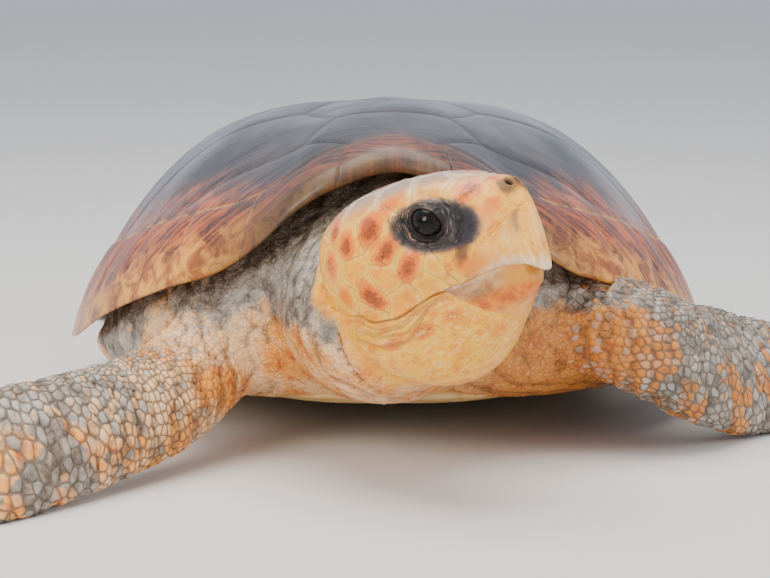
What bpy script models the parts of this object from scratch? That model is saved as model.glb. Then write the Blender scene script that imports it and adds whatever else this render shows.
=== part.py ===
"""A nesting loggerhead turtle as a still, life-size model, in metres, +Z up.

She faces -Y, and the origin is on the floor under the middle of the whole model.
Her shell is pitched nose up on her front flippers, and her head is raised and turned to her left (+X).
"Right" and "left" in names are the turtle's own. Every body form is a loft: rings of points round an axis,
closed with a pole at each end. Forms that meet are cut back from each other, which leaves a fine joint.
"""

import math

import bmesh
import bpy
import numpy as np
from mathutils import Matrix, Vector

# ---------------------------------------------------------------- driving dimensions
BODY_PITCH = math.radians(5.0)  # the shell leans back on its rear half
PITCH_PIVOT_Y = 0.16  # the plastron's lowest line, in the level shell's own frame
REST_SHIFT_Y = -0.075  # brings the shell's front edge to where the limbs' stations expect it
PLASTRON_SINK = 0.0014  # how far the plastron's curve is pressed flat on the floor
JOINT_GAP = 0.0006  # clear space where two forms meet
MODEL_SHIFT = (0.0028, 0.1183, 0.0)  # centres the finished model's outline over the origin

SHELL_CENTRE_Y = -0.03  # where the shell's rays start, near its highest point
SHELL_CROWN_Z = 0.340
SHELL_DOME_POWER = 3.2  # fullness of the dome from crown to rim
SHELL_CROWN_THICK = 0.030
FLARE_START = 0.84  # where the marginals begin to flare out, as a share of the way to the rim
FLARE_LIFT = 0.14
BROW = 0.9  # height of the outer face above the rim's lower edge, in rim thicknesses
OUTER_REACHES = (0.14, 0.34, 0.54, 0.70, 0.82, 0.91, 0.975)  # rings of the outer face, from the crown out
# Rings of the inner face, from the rim in: reach, and depth below the outer face in rim thicknesses.
INNER_RINGS = ((0.975, 0.9), (0.90, 1.5), (0.80, 1.8), (0.60, 1.8), (0.30, 1.8))
# Rim of the carapace, from the nuchal notch round one side to the tail notch: x, y, height, thickness,
# and the share of the way out to the rim that the soft trunk fills.
SHELL_RIM = (
    (0.000, -0.435, 0.268, 0.022, 0.965),
    (0.060, -0.443, 0.252, 0.022, 0.960),
    (0.105, -0.440, 0.226, 0.021, 0.955),
    (0.147, -0.425, 0.188, 0.020, 0.950),
    (0.192, -0.402, 0.158, 0.019, 0.950),
    (0.250, -0.350, 0.138, 0.017, 0.950),
    (0.318, -0.245, 0.104, 0.015, 0.950),
    (0.360, -0.115, 0.070, 0.014, 0.935),
    (0.378, 0.020, 0.058, 0.013, 0.910),
    (0.364, 0.150, 0.064, 0.012, 0.890),
    (0.318, 0.270, 0.080, 0.012, 0.870),
    (0.234, 0.378, 0.096, 0.011, 0.850),
    (0.122, 0.452, 0.102, 0.011, 0.840),
    (0.042, 0.486, 0.100, 0.011, 0.840),
    (0.000, 0.478, 0.098, 0.011, 0.840),
)
# Outline of the plastron with its bridges: x, y, height of the edge above its flat middle.
PLASTRON_OUTLINE = (
    (0.000, -0.372, 0.022),
    (0.085, -0.362, 0.022),
    (0.165, -0.305, 0.028),
    (0.240, -0.215, 0.044),
    (0.300, -0.120, 0.058),
    (0.318, 0.010, 0.058),
    (0.296, 0.120, 0.056),
    (0.225, 0.190, 0.044),
    (0.160, 0.255, 0.028),
    (0.105, 0.335, 0.019),
    (0.050, 0.385, 0.016),
    (0.000, 0.396, 0.015),
)
TRUNK_WAIST = (0.030, 0.60)  # height of its widest level: a fixed part, and a share of the rim's
TRUNK_FLOOR_Z = 0.015
TRUNK_LINING_GAP = 0.0015
LINING_REACHES = (0.30, 0.60, 0.80)
LINING_DEPTH = 1.8
# Levels of the trunk's wall below the rim: share of its widest outline, and height as a share of the waist's.
TRUNK_LEVELS = ((0.97, 1.25), (1.0, 0.92), (0.985, 0.60), (0.94, 0.28), (0.86, 0.08), (0.70, 0.0))
PLASTRON_THICK = 0.016
PLASTRON_REAR_RISE = 0.42  # curvature of the underside behind its lowest line
PLASTRON_EDGE_THIN = 0.75

# The head's own frame: forward, to her left and up, from a point between the jaw muscles.
HEAD_ORIGIN = Vector((0.0425, -0.635, 0.242))
HEAD_YAW = math.radians(45.0)
HEAD_PITCH = math.radians(20.0)
# Skull and upper beak: forward, half width, crown height, height of the lower border.
HEAD_STATIONS = (
    (-0.118, 0.042, 0.056, -0.006),
    (-0.108, 0.059, 0.072, -0.020),
    (-0.085, 0.079, 0.085, -0.035),
    (-0.045, 0.090, 0.092, -0.044),
    (0.000, 0.088, 0.092, -0.041),
    (0.040, 0.077, 0.087, -0.034),
    (0.075, 0.061, 0.078, -0.032),
    (0.102, 0.043, 0.066, -0.028),
    (0.122, 0.027, 0.056, -0.029),
    (0.1325, 0.0165, 0.045, -0.035),
    (0.140, 0.0085, 0.026, -0.040),
)
HEAD_BACK = (0.004, 0.030)  # the pole behind the first station: how far behind it, and up
HEAD_TIP = (0.1425, -0.012)  # the beak's foremost point: forward, up
HEAD_MIDDLE = 0.42  # height of the head's widest level between its lower border and crown
ARCH_POWERS = (0.92, 0.86)  # squareness of the section above its widest level: across and up
CHEEK_POWERS = (0.55, 0.42)  # the same below it
CHEEK_TUCK = 0.10  # how far the cheek draws in at its lower border
BEAK_LINE = ((0.058, -0.040), (0.140, 0.032))  # upper edge of the upper beak's horn, on its side: forward, up
# Lower jaw with the throat: forward, half width at the gape, lowest height.
JAW_STATIONS = (
    (-0.092, 0.060, -0.075),
    (-0.070, 0.076, -0.099),
    (-0.035, 0.082, -0.118),
    (0.000, 0.079, -0.122),
    (0.035, 0.067, -0.112),
    (0.065, 0.051, -0.091),
    (0.088, 0.038, -0.073),
    (0.107, 0.026, -0.060),
    (0.121, 0.014, -0.052),
)
JAW_BACK = (0.010, -0.045)
JAW_TIP = (0.1245, -0.044)
JAW_LIP = 0.010  # how far the jaw reaches up inside the mouth line
JAW_WIDEST = 0.004  # how far below the mouth line it is widest
JAW_TOP_POWER, JAW_LOW_POWER, JAW_SIDE_POWER = 0.5, 1.0, 0.98
CHIN_LINE = ((0.050, -0.030), (0.104, -0.090))  # lower edge of the lower beak's horn
EYE_RADIUS = 0.0190
EYE_PLACE = (0.054, 0.0545, 0.0375)  # forward, out to the side, up

# Neck: centre x, y, z, half width, half height.
NECK_STATIONS = (
    (0.000, -0.300, 0.200, 0.120, 0.090),
    (-0.004, -0.380, 0.190, 0.132, 0.104),
    (-0.010, -0.450, 0.178, 0.124, 0.112),
    (-0.014, -0.515, 0.176, 0.106, 0.100),
    (-0.012, -0.570, 0.180, 0.093, 0.088),
    (-0.002, -0.612, 0.190, 0.080, 0.074),
)

# Front flippers: x, y, z, chord, thickness, tilt of the chord (leading edge down) in degrees.
RIGHT_FLIPPER = (
    (-0.120, -0.330, 0.150, 0.110, 0.095, 60),
    (-0.195, -0.415, 0.112, 0.112, 0.088, 62),
    (-0.245, -0.495, 0.080, 0.116, 0.078, 64),
    (-0.298, -0.572, 0.069, 0.122, 0.066, 66),
    (-0.348, -0.645, 0.065, 0.130, 0.054, 67),
    (-0.402, -0.708, 0.062, 0.138, 0.043, 64),
    (-0.466, -0.756, 0.054, 0.134, 0.033, 56),
    (-0.532, -0.788, 0.041, 0.112, 0.025, 46),
    (-0.588, -0.805, 0.028, 0.076, 0.018, 38),
    (-0.624, -0.813, 0.018, 0.036, 0.012, 30),
)
LEFT_FLIPPER = (
    (0.120, -0.330, 0.165, 0.108, 0.095, 60),
    (0.205, -0.400, 0.150, 0.115, 0.092, 60),
    (0.268, -0.412, 0.128, 0.124, 0.086, 62),
    (0.322, -0.385, 0.098, 0.140, 0.076, 66),
    (0.366, -0.335, 0.078, 0.150, 0.060, 66),
    (0.420, -0.272, 0.063, 0.150, 0.044, 58),
    (0.482, -0.205, 0.052, 0.138, 0.033, 48),
    (0.540, -0.148, 0.038, 0.112, 0.025, 42),
    (0.588, -0.105, 0.027, 0.076, 0.018, 36),
    (0.616, -0.082, 0.017, 0.036, 0.012, 30),
)
WRIST_STATION = 4.3  # where the arm is parted from the blade, counted in stations
FRONT_CLAWS = (5.15, 6.35)  # where the claws grow on the leading edge, counted in stations
HIND_CLAWS = (4.6, 5.5)
# A flipper's section thins behind its leading edge once its chord is this many thicknesses.
BLADE_FROM, BLADE_FULL = 1.3, 3.8
BLADE_THIN = 0.62
BLADE_THICK_SHARE = 0.25  # the part of the half chord next to the leading edge that keeps its thickness
# Hind flippers, for the left side: x, y, z, chord, thickness, tilt in degrees.
HIND_FLIPPER = (
    (0.105, 0.235, 0.060, 0.105, 0.080, 4),
    (0.175, 0.305, 0.052, 0.108, 0.074, 4),
    (0.228, 0.362, 0.040, 0.110, 0.056, 4),
    (0.276, 0.418, 0.028, 0.126, 0.038, 3),
    (0.318, 0.474, 0.015, 0.142, 0.027, 3),
    (0.350, 0.524, 0.010, 0.134, 0.020, 2),
    (0.372, 0.562, 0.008, 0.098, 0.015, 2),
    (0.384, 0.584, 0.006, 0.050, 0.010, 2),
)
# Tail: y, z, radius.
TAIL_STATIONS = (
    (0.300, 0.066, 0.040),
    (0.360, 0.058, 0.036),
    (0.420, 0.048, 0.027),
    (0.470, 0.038, 0.018),
    (0.505, 0.030, 0.010),
)
TAIL_FLATNESS = 0.8
TAIL_TIP = (0.012, 0.002)  # the tip's place beyond the last station: behind and below it
CLAW_LENGTH = 0.016
CLAW_RADIUS = 0.0045
CLAW_ROOT_DEPTH = 0.007
CLAW_RINGS = ((0.0, 0.9), (0.35, 1.0), (0.65, 0.72), (0.88, 0.34))  # share of the length, share of the radius
CLAW_HOOK = (0.2, 0.5)  # how far it leans and curves along the flipper, as shares of its length

RING_FINE = 28  # points round the head
RING = 16  # points round other lofts
SHELL_RAYS = 48  # points round the shell


# ---------------------------------------------------------------- curves and frames
def through(table, steps):
    """Rows on a smooth Catmull-Rom curve through the table's rows, at `steps` even places."""
    rows = np.array(table, float)
    rows = np.vstack([2 * rows[0] - rows[1], rows, 2 * rows[-1] - rows[-2]])
    place = np.linspace(0, len(table) - 1, steps)
    start = np.minimum(place.astype(int), len(table) - 2)
    t = (place - start)[:, None]
    a, b, c, d = (rows[start + k] for k in range(4))
    return 0.5 * (2 * b + (c - a) * t + (2 * a - 5 * b + 4 * c - d) * t**2 + (3 * b - a - 3 * c + d) * t**3)


def round_outline(half, count):
    """A closed outline of `count` points, smooth through a half outline and its mirror image in x."""
    half = np.array(half, float)
    mirrored = half[-2:0:-1] * np.array([-1.0] + [1.0] * (half.shape[1] - 1))
    rows = np.vstack([half, mirrored])
    lengths = np.linalg.norm(np.roll(rows, -1, 0)[:, :2] - rows[:, :2], axis=1)
    knots = np.concatenate([[0], np.cumsum(lengths)])
    place = np.linspace(0, knots[-1], count, endpoint=False)
    start = np.searchsorted(knots, place, side="right") - 1
    t = ((place - knots[start]) / lengths[start])[:, None]
    a, b, c, d = (rows[(start + k) % len(rows)] for k in (-1, 0, 1, 2))
    return 0.5 * (2 * b + (c - a) * t + (2 * a - 5 * b + 4 * c - d) * t**2 + (3 * b - a - 3 * c + d) * t**3)


def pitched(points):
    """Points of the level shell's frame, leant back about the plastron's lowest line and set on the floor."""
    points = np.asarray(points, float)
    ahead, z = PITCH_PIVOT_Y - points[..., 1], points[..., 2]
    c, s = math.cos(BODY_PITCH), math.sin(BODY_PITCH)
    y = PITCH_PIVOT_Y - ahead * c + z * s + REST_SHIFT_Y
    return np.stack([points[..., 0], y, z * c + ahead * s - PLASTRON_SINK], axis=-1)


def on_floor(points):
    """Points pressed flat where they would go under the floor."""
    points = np.array(points, float)
    points[..., 2] = np.maximum(points[..., 2], 0.0)
    return points


def head_matrix():
    """The head's frame in the world: columns are forward, her left and up."""
    forward = Vector(
        (
            math.sin(HEAD_YAW) * math.cos(HEAD_PITCH),
            -math.cos(HEAD_YAW) * math.cos(HEAD_PITCH),
            math.sin(HEAD_PITCH),
        )
    )
    left = Vector((math.cos(HEAD_YAW), math.sin(HEAD_YAW), 0.0))
    up = forward.cross(left)
    matrix = Matrix((forward, left, up)).transposed().to_4x4()
    matrix.translation = HEAD_ORIGIN
    return matrix


# ---------------------------------------------------------------- mesh building
def face_out(mesh):
    """Turns every face of a closed mesh outwards."""
    bmesh.ops.recalc_face_normals(mesh, faces=mesh.faces)
    if mesh.calc_volume(signed=True) < 0:
        bmesh.ops.reverse_faces(mesh, faces=mesh.faces)


def loft(name, rings, first_pole, last_pole):
    """A closed mesh object: `rings` is an array (rings, points, 3), and a pole closes each end."""
    count = rings.shape[1]
    mesh = bmesh.new()
    loops = [[mesh.verts.new(point) for point in ring] for ring in rings]
    for low, high in zip(loops, loops[1:]):
        for k in range(count):
            mesh.faces.new((low[k], low[(k + 1) % count], high[(k + 1) % count], high[k]))
    for loop, pole in ((loops[0], first_pole), (loops[-1], last_pole)):
        tip = mesh.verts.new(pole)
        for k in range(count):
            mesh.faces.new((loop[k], loop[(k + 1) % count], tip))
    bmesh.ops.triangulate(mesh, faces=mesh.faces)
    face_out(mesh)
    data = bpy.data.meshes.new(name)
    mesh.to_mesh(data)
    mesh.free()
    made = bpy.data.objects.new(name, data)
    bpy.context.scene.collection.objects.link(made)
    return made


def grown(made, amount):
    """A hidden copy of a form, `amount` larger all over, used to cut its neighbours back."""
    copy = made.copy()
    copy.data = made.data.copy()
    copy.name = made.name + "_cutter"
    bpy.context.scene.collection.objects.link(copy)
    mesh = bmesh.new()
    mesh.from_mesh(copy.data)
    mesh.normal_update()
    shifts = [(vert, vert.normal.copy()) for vert in mesh.verts]
    for vert, normal in shifts:
        vert.co += normal * amount
    mesh.to_mesh(copy.data)
    mesh.free()
    hide_helper(copy)
    return copy


def hide_helper(made):
    """Marks a cutter or guide, which is not a part of the model."""
    made.hide_render = True
    made.display_type = "WIRE"


def combine(made, other, operation):
    """Applies one exact Boolean of `made` with `other`."""
    modifier = made.modifiers.new(operation.title(), "BOOLEAN")
    modifier.operation = operation
    modifier.solver = "EXACT"
    modifier.object = other
    bpy.context.view_layer.update()
    graph = bpy.context.evaluated_depsgraph_get()
    data = bpy.data.meshes.new_from_object(made.evaluated_get(graph))
    made.modifiers.clear()
    made.data = data


def cut_back(made, *neighbours, gap=JOINT_GAP):
    """Cuts `made` back from each neighbour, with a fine gap, and keeps only its largest body."""
    for neighbour in neighbours:
        cutter = grown(neighbour, gap)
        combine(made, cutter, "DIFFERENCE")
    keep_largest(made)


def keep_largest(made):
    """Drops slivers that a cut leaves beside the main body."""
    mesh = bmesh.new()
    mesh.from_mesh(made.data)
    bmesh.ops.remove_doubles(mesh, verts=mesh.verts, dist=1e-6)
    bmesh.ops.dissolve_degenerate(mesh, edges=mesh.edges, dist=1e-5)
    unseen, bodies = set(mesh.faces), []
    while unseen:
        body, front = set(), [unseen.pop()]
        while front:
            face = front.pop()
            body.add(face)
            linked = {other for edge in face.edges for other in edge.link_faces} & unseen
            unseen -= linked
            front.extend(linked)
        bodies.append(body)
    bodies.sort(key=lambda body: sum(face.calc_area() for face in body))
    spare = [face for body in bodies[:-1] for face in body]
    bmesh.ops.delete(mesh, geom=spare, context="FACES")
    bmesh.ops.triangulate(mesh, faces=mesh.faces)
    face_out(mesh)
    mesh.to_mesh(made.data)
    mesh.free()


def finish(made, colour, roughness):
    """Centres a finished node over the origin with the rest, and gives it its material and smooth shading."""
    made.data.transform(Matrix.Translation(MODEL_SHIFT))
    material = bpy.data.materials.new(made.name)
    material.use_nodes = True
    shader = material.node_tree.nodes["Principled BSDF"]
    shader.inputs["Base Color"].default_value = (*colour, 1.0)
    shader.inputs["Roughness"].default_value = roughness
    shader.inputs["Metallic"].default_value = 0.0
    made.data.materials.clear()
    made.data.materials.append(material)
    made.data.shade_smooth()
    made.data.set_sharp_from_angle(angle=math.radians(50))


# ---------------------------------------------------------------- shell and trunk
def dome_fall(reach):
    """Share of the drop from crown to rim, 0 at the crown and 1 at the rim, which flares a little."""
    flare = np.clip((reach - FLARE_START) / (1 - FLARE_START), 0, 1)
    return reach**SHELL_DOME_POWER * (1 - FLARE_LIFT * flare * (1 - flare))


def dome(rim, reach):
    """Points on the carapace's outer face, `reach` of the way out along the ray to each rim point."""
    x = rim[:, 0] * reach
    y = SHELL_CENTRE_Y + (rim[:, 1] - SHELL_CENTRE_Y) * reach
    brow = rim[:, 2] + rim[:, 3] * BROW
    z = SHELL_CROWN_Z - (SHELL_CROWN_Z - brow) * dome_fall(np.full(len(rim), reach))
    return np.stack([x, y, z], axis=-1)


def under_dome(rim, reach, thick):
    """Points on the carapace's hollow inner face, `thick` rim thicknesses below its outer face."""
    inner = dome(rim, reach)
    inner[:, 2] -= rim[:, 3] * thick
    return inner


def make_carapace():
    """The domed upper shell: outer face, rounded rim and hollow underside, in one closed body."""
    rim = round_outline(SHELL_RIM, SHELL_RAYS)
    rings = [dome(rim, reach) for reach in OUTER_REACHES]
    edge = np.stack([rim[:, 0], rim[:, 1], rim[:, 2] + rim[:, 3] * 0.5], axis=-1)
    rings.append(edge)
    for reach, thick in INNER_RINGS:
        rings.append(under_dome(rim, reach, thick))
    top = (0.0, SHELL_CENTRE_Y, SHELL_CROWN_Z)
    under = (0.0, SHELL_CENTRE_Y, SHELL_CROWN_Z - SHELL_CROWN_THICK)
    return loft("carapace", pitched(rings), pitched(top), pitched(under))


def make_trunk():
    """The soft body between the shells: it lines the carapace and swells out below the rim."""
    rim = round_outline(SHELL_RIM, SHELL_RAYS)
    rings = []
    for reach in LINING_REACHES:
        lining = under_dome(rim, reach, LINING_DEPTH)
        lining[:, 2] -= TRUNK_LINING_GAP
        rings.append(lining)
    waist = TRUNK_WAIST[0] + TRUNK_WAIST[1] * rim[:, 2]
    for share, rise in TRUNK_LEVELS:
        x = rim[:, 0] * rim[:, 4] * share
        y = SHELL_CENTRE_Y + (rim[:, 1] - SHELL_CENTRE_Y) * rim[:, 4] * share
        rings.append(np.stack([x, y, TRUNK_FLOOR_Z + (waist - TRUNK_FLOOR_Z) * rise], axis=-1))
    top = (0.0, SHELL_CENTRE_Y, SHELL_CROWN_Z - SHELL_CROWN_THICK - TRUNK_LINING_GAP)
    under = (0.0, SHELL_CENTRE_Y, TRUNK_FLOOR_Z)
    return loft("trunk", pitched(rings), pitched(top), pitched(under))


def make_plastron():
    """The lower shell: a shallow dish with bridges that rise to the carapace, resting on a flat."""
    outline = round_outline(PLASTRON_OUTLINE, SHELL_RAYS // 2)

    def underside(reach):
        x = outline[:, 0] * reach
        y = outline[:, 1] * reach
        rear = np.maximum(y - PITCH_PIVOT_Y, 0) ** 2 * PLASTRON_REAR_RISE
        return np.stack([x, y, outline[:, 2] * reach**4 + rear], axis=-1)

    rings = [pitched(underside(reach)) for reach in (0.25, 0.5, 0.7, 0.85, 0.95, 1.0)]
    for reach in (0.985, 0.85, 0.6, 0.3):
        inner = underside(reach)
        inner[:, 2] += PLASTRON_THICK * (PLASTRON_EDGE_THIN if reach > 0.9 else 1.0)
        rings.append(pitched(inner))
    under, top = pitched((0.0, 0.0, 0.0)), pitched((0.0, 0.0, PLASTRON_THICK))
    return loft("plastron", on_floor(rings), under, top)


# ---------------------------------------------------------------- limbs, neck and tail
def limb_axes(rows, leading):
    """Centres of a limb's sections, the way to its leading edge, and the way its upper face looks."""
    centres, tilt = rows[:, :3], np.radians(rows[:, 5])
    run = np.gradient(centres, axis=0)
    run /= np.linalg.norm(run, axis=1)[:, None]
    level = np.stack([-run[:, 1], run[:, 0], np.zeros(len(run))], axis=-1) * leading
    level /= np.linalg.norm(level, axis=1)[:, None]
    across = level * np.cos(tilt)[:, None] - np.array([0.0, 0.0, 1.0]) * np.sin(tilt)[:, None]
    across -= run * (across * run).sum(1)[:, None]
    across /= np.linalg.norm(across, axis=1)[:, None]
    return centres, across, np.cross(run, across) * leading


def limb_rings(stations, steps, leading):
    """Rings of a flipper: an arm of oval section that thins to a blade with a thick leading edge.

    `leading` is +1 where the leading edge lies to the left of the way the limb runs, -1 to the right.
    """
    rows = through(stations, steps)
    centres, across, face = limb_axes(rows, leading)
    chord, thick = rows[:, 3], rows[:, 4]
    turn = np.linspace(0, 2 * math.pi, RING, endpoint=False)
    flat = np.clip((chord / thick - BLADE_FROM) / (BLADE_FULL - BLADE_FROM), 0, 1)[:, None]
    along = np.cos(turn)[None, :]
    behind = np.clip(BLADE_THICK_SHARE - along, 0, None) / (1 + BLADE_THICK_SHARE)
    body = 1 - flat * BLADE_THIN * behind
    off = np.sin(turn)[None, :] * body * thick[:, None] / 2
    along = along * chord[:, None] / 2
    return centres[:, None] + across[:, None] * along[..., None] + face[:, None] * off[..., None]


def make_limb(name, stations, steps, leading):
    """One whole flipper, from inside the trunk to its tip."""
    rings = on_floor(limb_rings(stations, steps, leading))
    step_out = rings[-1].mean(0) - rings[-2].mean(0)
    return loft(name, rings, rings[0].mean(0), on_floor(rings[-1].mean(0) + step_out * 0.3))


def make_neck():
    """The thick neck, from inside the shell to inside the back of the head."""
    rows = through(NECK_STATIONS, 9)
    turn = np.linspace(0, 2 * math.pi, RING, endpoint=False)
    run = np.gradient(rows[:, :3], axis=0)
    run /= np.linalg.norm(run, axis=1)[:, None]
    side = np.cross(run, [0.0, 0.0, 1.0])
    side /= np.linalg.norm(side, axis=1)[:, None]
    lift = np.cross(side, run)
    wide = np.cos(turn)[None, :, None] * rows[:, 3, None, None] * side[:, None]
    tall = np.sin(turn)[None, :, None] * rows[:, 4, None, None] * lift[:, None]
    rings = rows[:, None, :3] + wide + tall
    return loft("neck", rings, rows[0, :3], rows[-1, :3] + run[-1] * 0.02)


def make_tail():
    """The female's short tail, a cone that just clears the shell."""
    rows = through(TAIL_STATIONS, 8)
    turn = np.linspace(0, 2 * math.pi, RING // 2, endpoint=False)
    rings = [
        np.stack([np.cos(turn) * r, np.full(len(turn), y), z + np.sin(turn) * r * TAIL_FLATNESS], axis=-1)
        for y, z, r in rows
    ]
    tip = (0.0, rows[-1, 0] + TAIL_TIP[0], rows[-1, 1] - TAIL_TIP[1])
    return loft("tail", on_floor(rings), rings[0].mean(0), tip)


def half_space(frame, side):
    """A large hidden block over one side of a frame's XY plane, short of it by half a joint's gap.

    The block is on the +Z side for `side` = +1, so cutting with it keeps what lies on the other side.
    """
    mesh = bmesh.new()
    bmesh.ops.create_cube(mesh, size=1.4)
    data = bpy.data.meshes.new("half_space")
    mesh.to_mesh(data)
    mesh.free()
    block = bpy.data.objects.new("half_space", data)
    bpy.context.scene.collection.objects.link(block)
    data.transform(frame @ Matrix.Translation((0, 0, side * (0.7 - JOINT_GAP / 2))))
    hide_helper(block)
    return block


def part_limb(whole, stations, name):
    """Parts a flipper at the wrist with a thin cut into an arm and a blade."""
    rows = through(stations, 101)
    place = round(WRIST_STATION / (len(stations) - 1) * 100)
    run = Vector(rows[place + 1, :3] - rows[place - 1, :3]).normalized()
    frame = Matrix.Translation(Vector(rows[place, :3])) @ run.to_track_quat("Z", "Y").to_matrix().to_4x4()
    parts = []
    for side, label in ((1, "arm"), (-1, "blade")):
        piece = whole.copy()
        piece.data = whole.data.copy()
        piece.name = name.format(label)
        bpy.context.scene.collection.objects.link(piece)
        combine(piece, half_space(frame, side), "DIFFERENCE")
        keep_largest(piece)
        parts.append(piece)
    hide_helper(whole)
    return parts


def make_claw(name, stations, place, leading):
    """One short horn claw on a flipper's leading edge: its root is sunk in the flesh, and it lies level."""
    steps = 101
    rows = through(stations, steps)
    at = round(place / (len(stations) - 1) * (steps - 1))
    centres, across, _ = limb_axes(rows, leading)
    root = centres[at] + across[at] * (rows[at, 3] / 2 - CLAW_ROOT_DEPTH)
    root[2] = max(root[2], CLAW_RADIUS + 0.003)
    level = Vector((across[at][0], across[at][1], 0.0)).normalized()
    run = Vector((centres[at] - centres[at - 1]) * (1, 1, 0)).normalized()
    side = level.cross(run).normalized()
    turn = np.linspace(0, 2 * math.pi, 6, endpoint=False)
    rings = []
    circle = np.cos(turn)[:, None] * np.array(run) + np.sin(turn)[:, None] * np.array(side)
    lean, curve = CLAW_HOOK
    for along, radius in CLAW_RINGS:
        centre = root + (level + run * (lean + curve * along)) * CLAW_LENGTH * along
        rings.append(np.array(centre) + circle * CLAW_RADIUS * radius)
    tip = root + (level + run * (lean + curve)) * CLAW_LENGTH
    return loft(name, np.array(rings), root - np.array(level) * 0.001, tip)


# ---------------------------------------------------------------- head
def head_rows(table, steps):
    """Stations along the head, close together where the snout rounds off."""
    rows = through(table, 4 * steps)
    ease = np.linspace(0, 1, steps) ** 0.85
    return rows[np.round(ease * (4 * steps - 1)).astype(int)]


def make_head():
    """Skull, cheeks and upper beak: an arched section with near-upright cheeks and a flat lower border."""
    rows = head_rows(HEAD_STATIONS, 15)
    turn = np.linspace(0, 2 * math.pi, RING_FINE, endpoint=False)
    rings = []
    for ahead, half, crown, border in rows:
        middle = border + (crown - border) * HEAD_MIDDLE
        up = np.sin(turn)
        side = np.cos(turn)
        tall = np.where(up > 0, crown - middle, middle - border)
        power = np.where(up > 0, ARCH_POWERS[1], CHEEK_POWERS[1])
        width = np.sign(side) * np.abs(side) ** np.where(up > 0, ARCH_POWERS[0], CHEEK_POWERS[0]) * half
        width *= np.where(up > 0, 1.0, 1.0 + CHEEK_TUCK * up)
        height = middle + np.sign(up) * np.abs(up) ** power * tall
        rings.append(np.stack([np.full(len(turn), ahead), width, height], axis=-1))
    back = (rows[0, 0] - HEAD_BACK[0], 0.0, HEAD_BACK[1])
    made = loft("head", np.array(rings), back, (HEAD_TIP[0], 0.0, HEAD_TIP[1]))
    made.data.transform(head_matrix())
    return made


def gape(ahead):
    """Height of the mouth line and of the cheek's lower border at a place along the head."""
    table = np.array(HEAD_STATIONS)
    return float(np.interp(ahead, table[:, 0], table[:, 3]))


def make_jaw():
    """Lower jaw and throat: flat where it meets the upper jaw and full below."""
    rows = head_rows(JAW_STATIONS, 11)
    turn = np.linspace(0, 2 * math.pi, RING, endpoint=False)
    rings = []
    for ahead, half, low in rows:
        widest = gape(ahead) - JAW_WIDEST
        up, side = np.sin(turn), np.cos(turn)
        tall = np.where(up > 0, JAW_LIP + JAW_WIDEST, widest - low)
        height = widest + np.sign(up) * np.abs(up) ** np.where(up > 0, JAW_TOP_POWER, JAW_LOW_POWER) * tall
        width = np.sign(side) * np.abs(side) ** JAW_SIDE_POWER * half
        rings.append(np.stack([np.full(len(turn), ahead), width, height], axis=-1))
    back = (rows[0, 0] - JAW_BACK[0], 0.0, JAW_BACK[1])
    made = loft("jaw", np.array(rings), back, (JAW_TIP[0], 0.0, JAW_TIP[1]))
    made.data.transform(head_matrix())
    return made


def part_horn(whole, line, name, keep):
    """Parts the horn of a beak from `whole` along a plane square to the head's side, with a fine joint.

    `line` holds two points of that plane, forward and up, and `keep` is +1 if the horn lies below it.
    """
    (ahead, up), (ahead_end, up_end) = line
    angle = math.atan2(up_end - up, ahead_end - ahead)
    horn = whole.copy()
    horn.data = whole.data.copy()
    horn.name = name
    bpy.context.scene.collection.objects.link(horn)
    for piece, side in ((horn, keep), (whole, -keep)):
        frame = head_matrix() @ Matrix.Translation((ahead, 0, up)) @ Matrix.Rotation(-angle, 4, "Y")
        block = half_space(frame, side)
        combine(piece, block, "DIFFERENCE")
        keep_largest(piece)
    return horn


def make_eye(name, side):
    """An eyeball, set in the orbit with its front just proud of the head."""
    mesh = bmesh.new()
    bmesh.ops.create_uvsphere(mesh, u_segments=14, v_segments=8, radius=EYE_RADIUS)
    data = bpy.data.meshes.new(name)
    mesh.to_mesh(data)
    mesh.free()
    made = bpy.data.objects.new(name, data)
    bpy.context.scene.collection.objects.link(made)
    ahead, out, up = EYE_PLACE
    data.transform(head_matrix() @ Matrix.Translation((ahead, out * side, up)))
    return made


# ---------------------------------------------------------------- the whole animal
SKIN_COLOUR = (0.42, 0.36, 0.28)
SHELL_COLOUR = (0.16, 0.13, 0.12)
PLASTRON_COLOUR = (0.78, 0.62, 0.34)
HEAD_COLOUR = (0.80, 0.52, 0.22)
EYE_COLOUR = (0.02, 0.02, 0.025)


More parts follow.
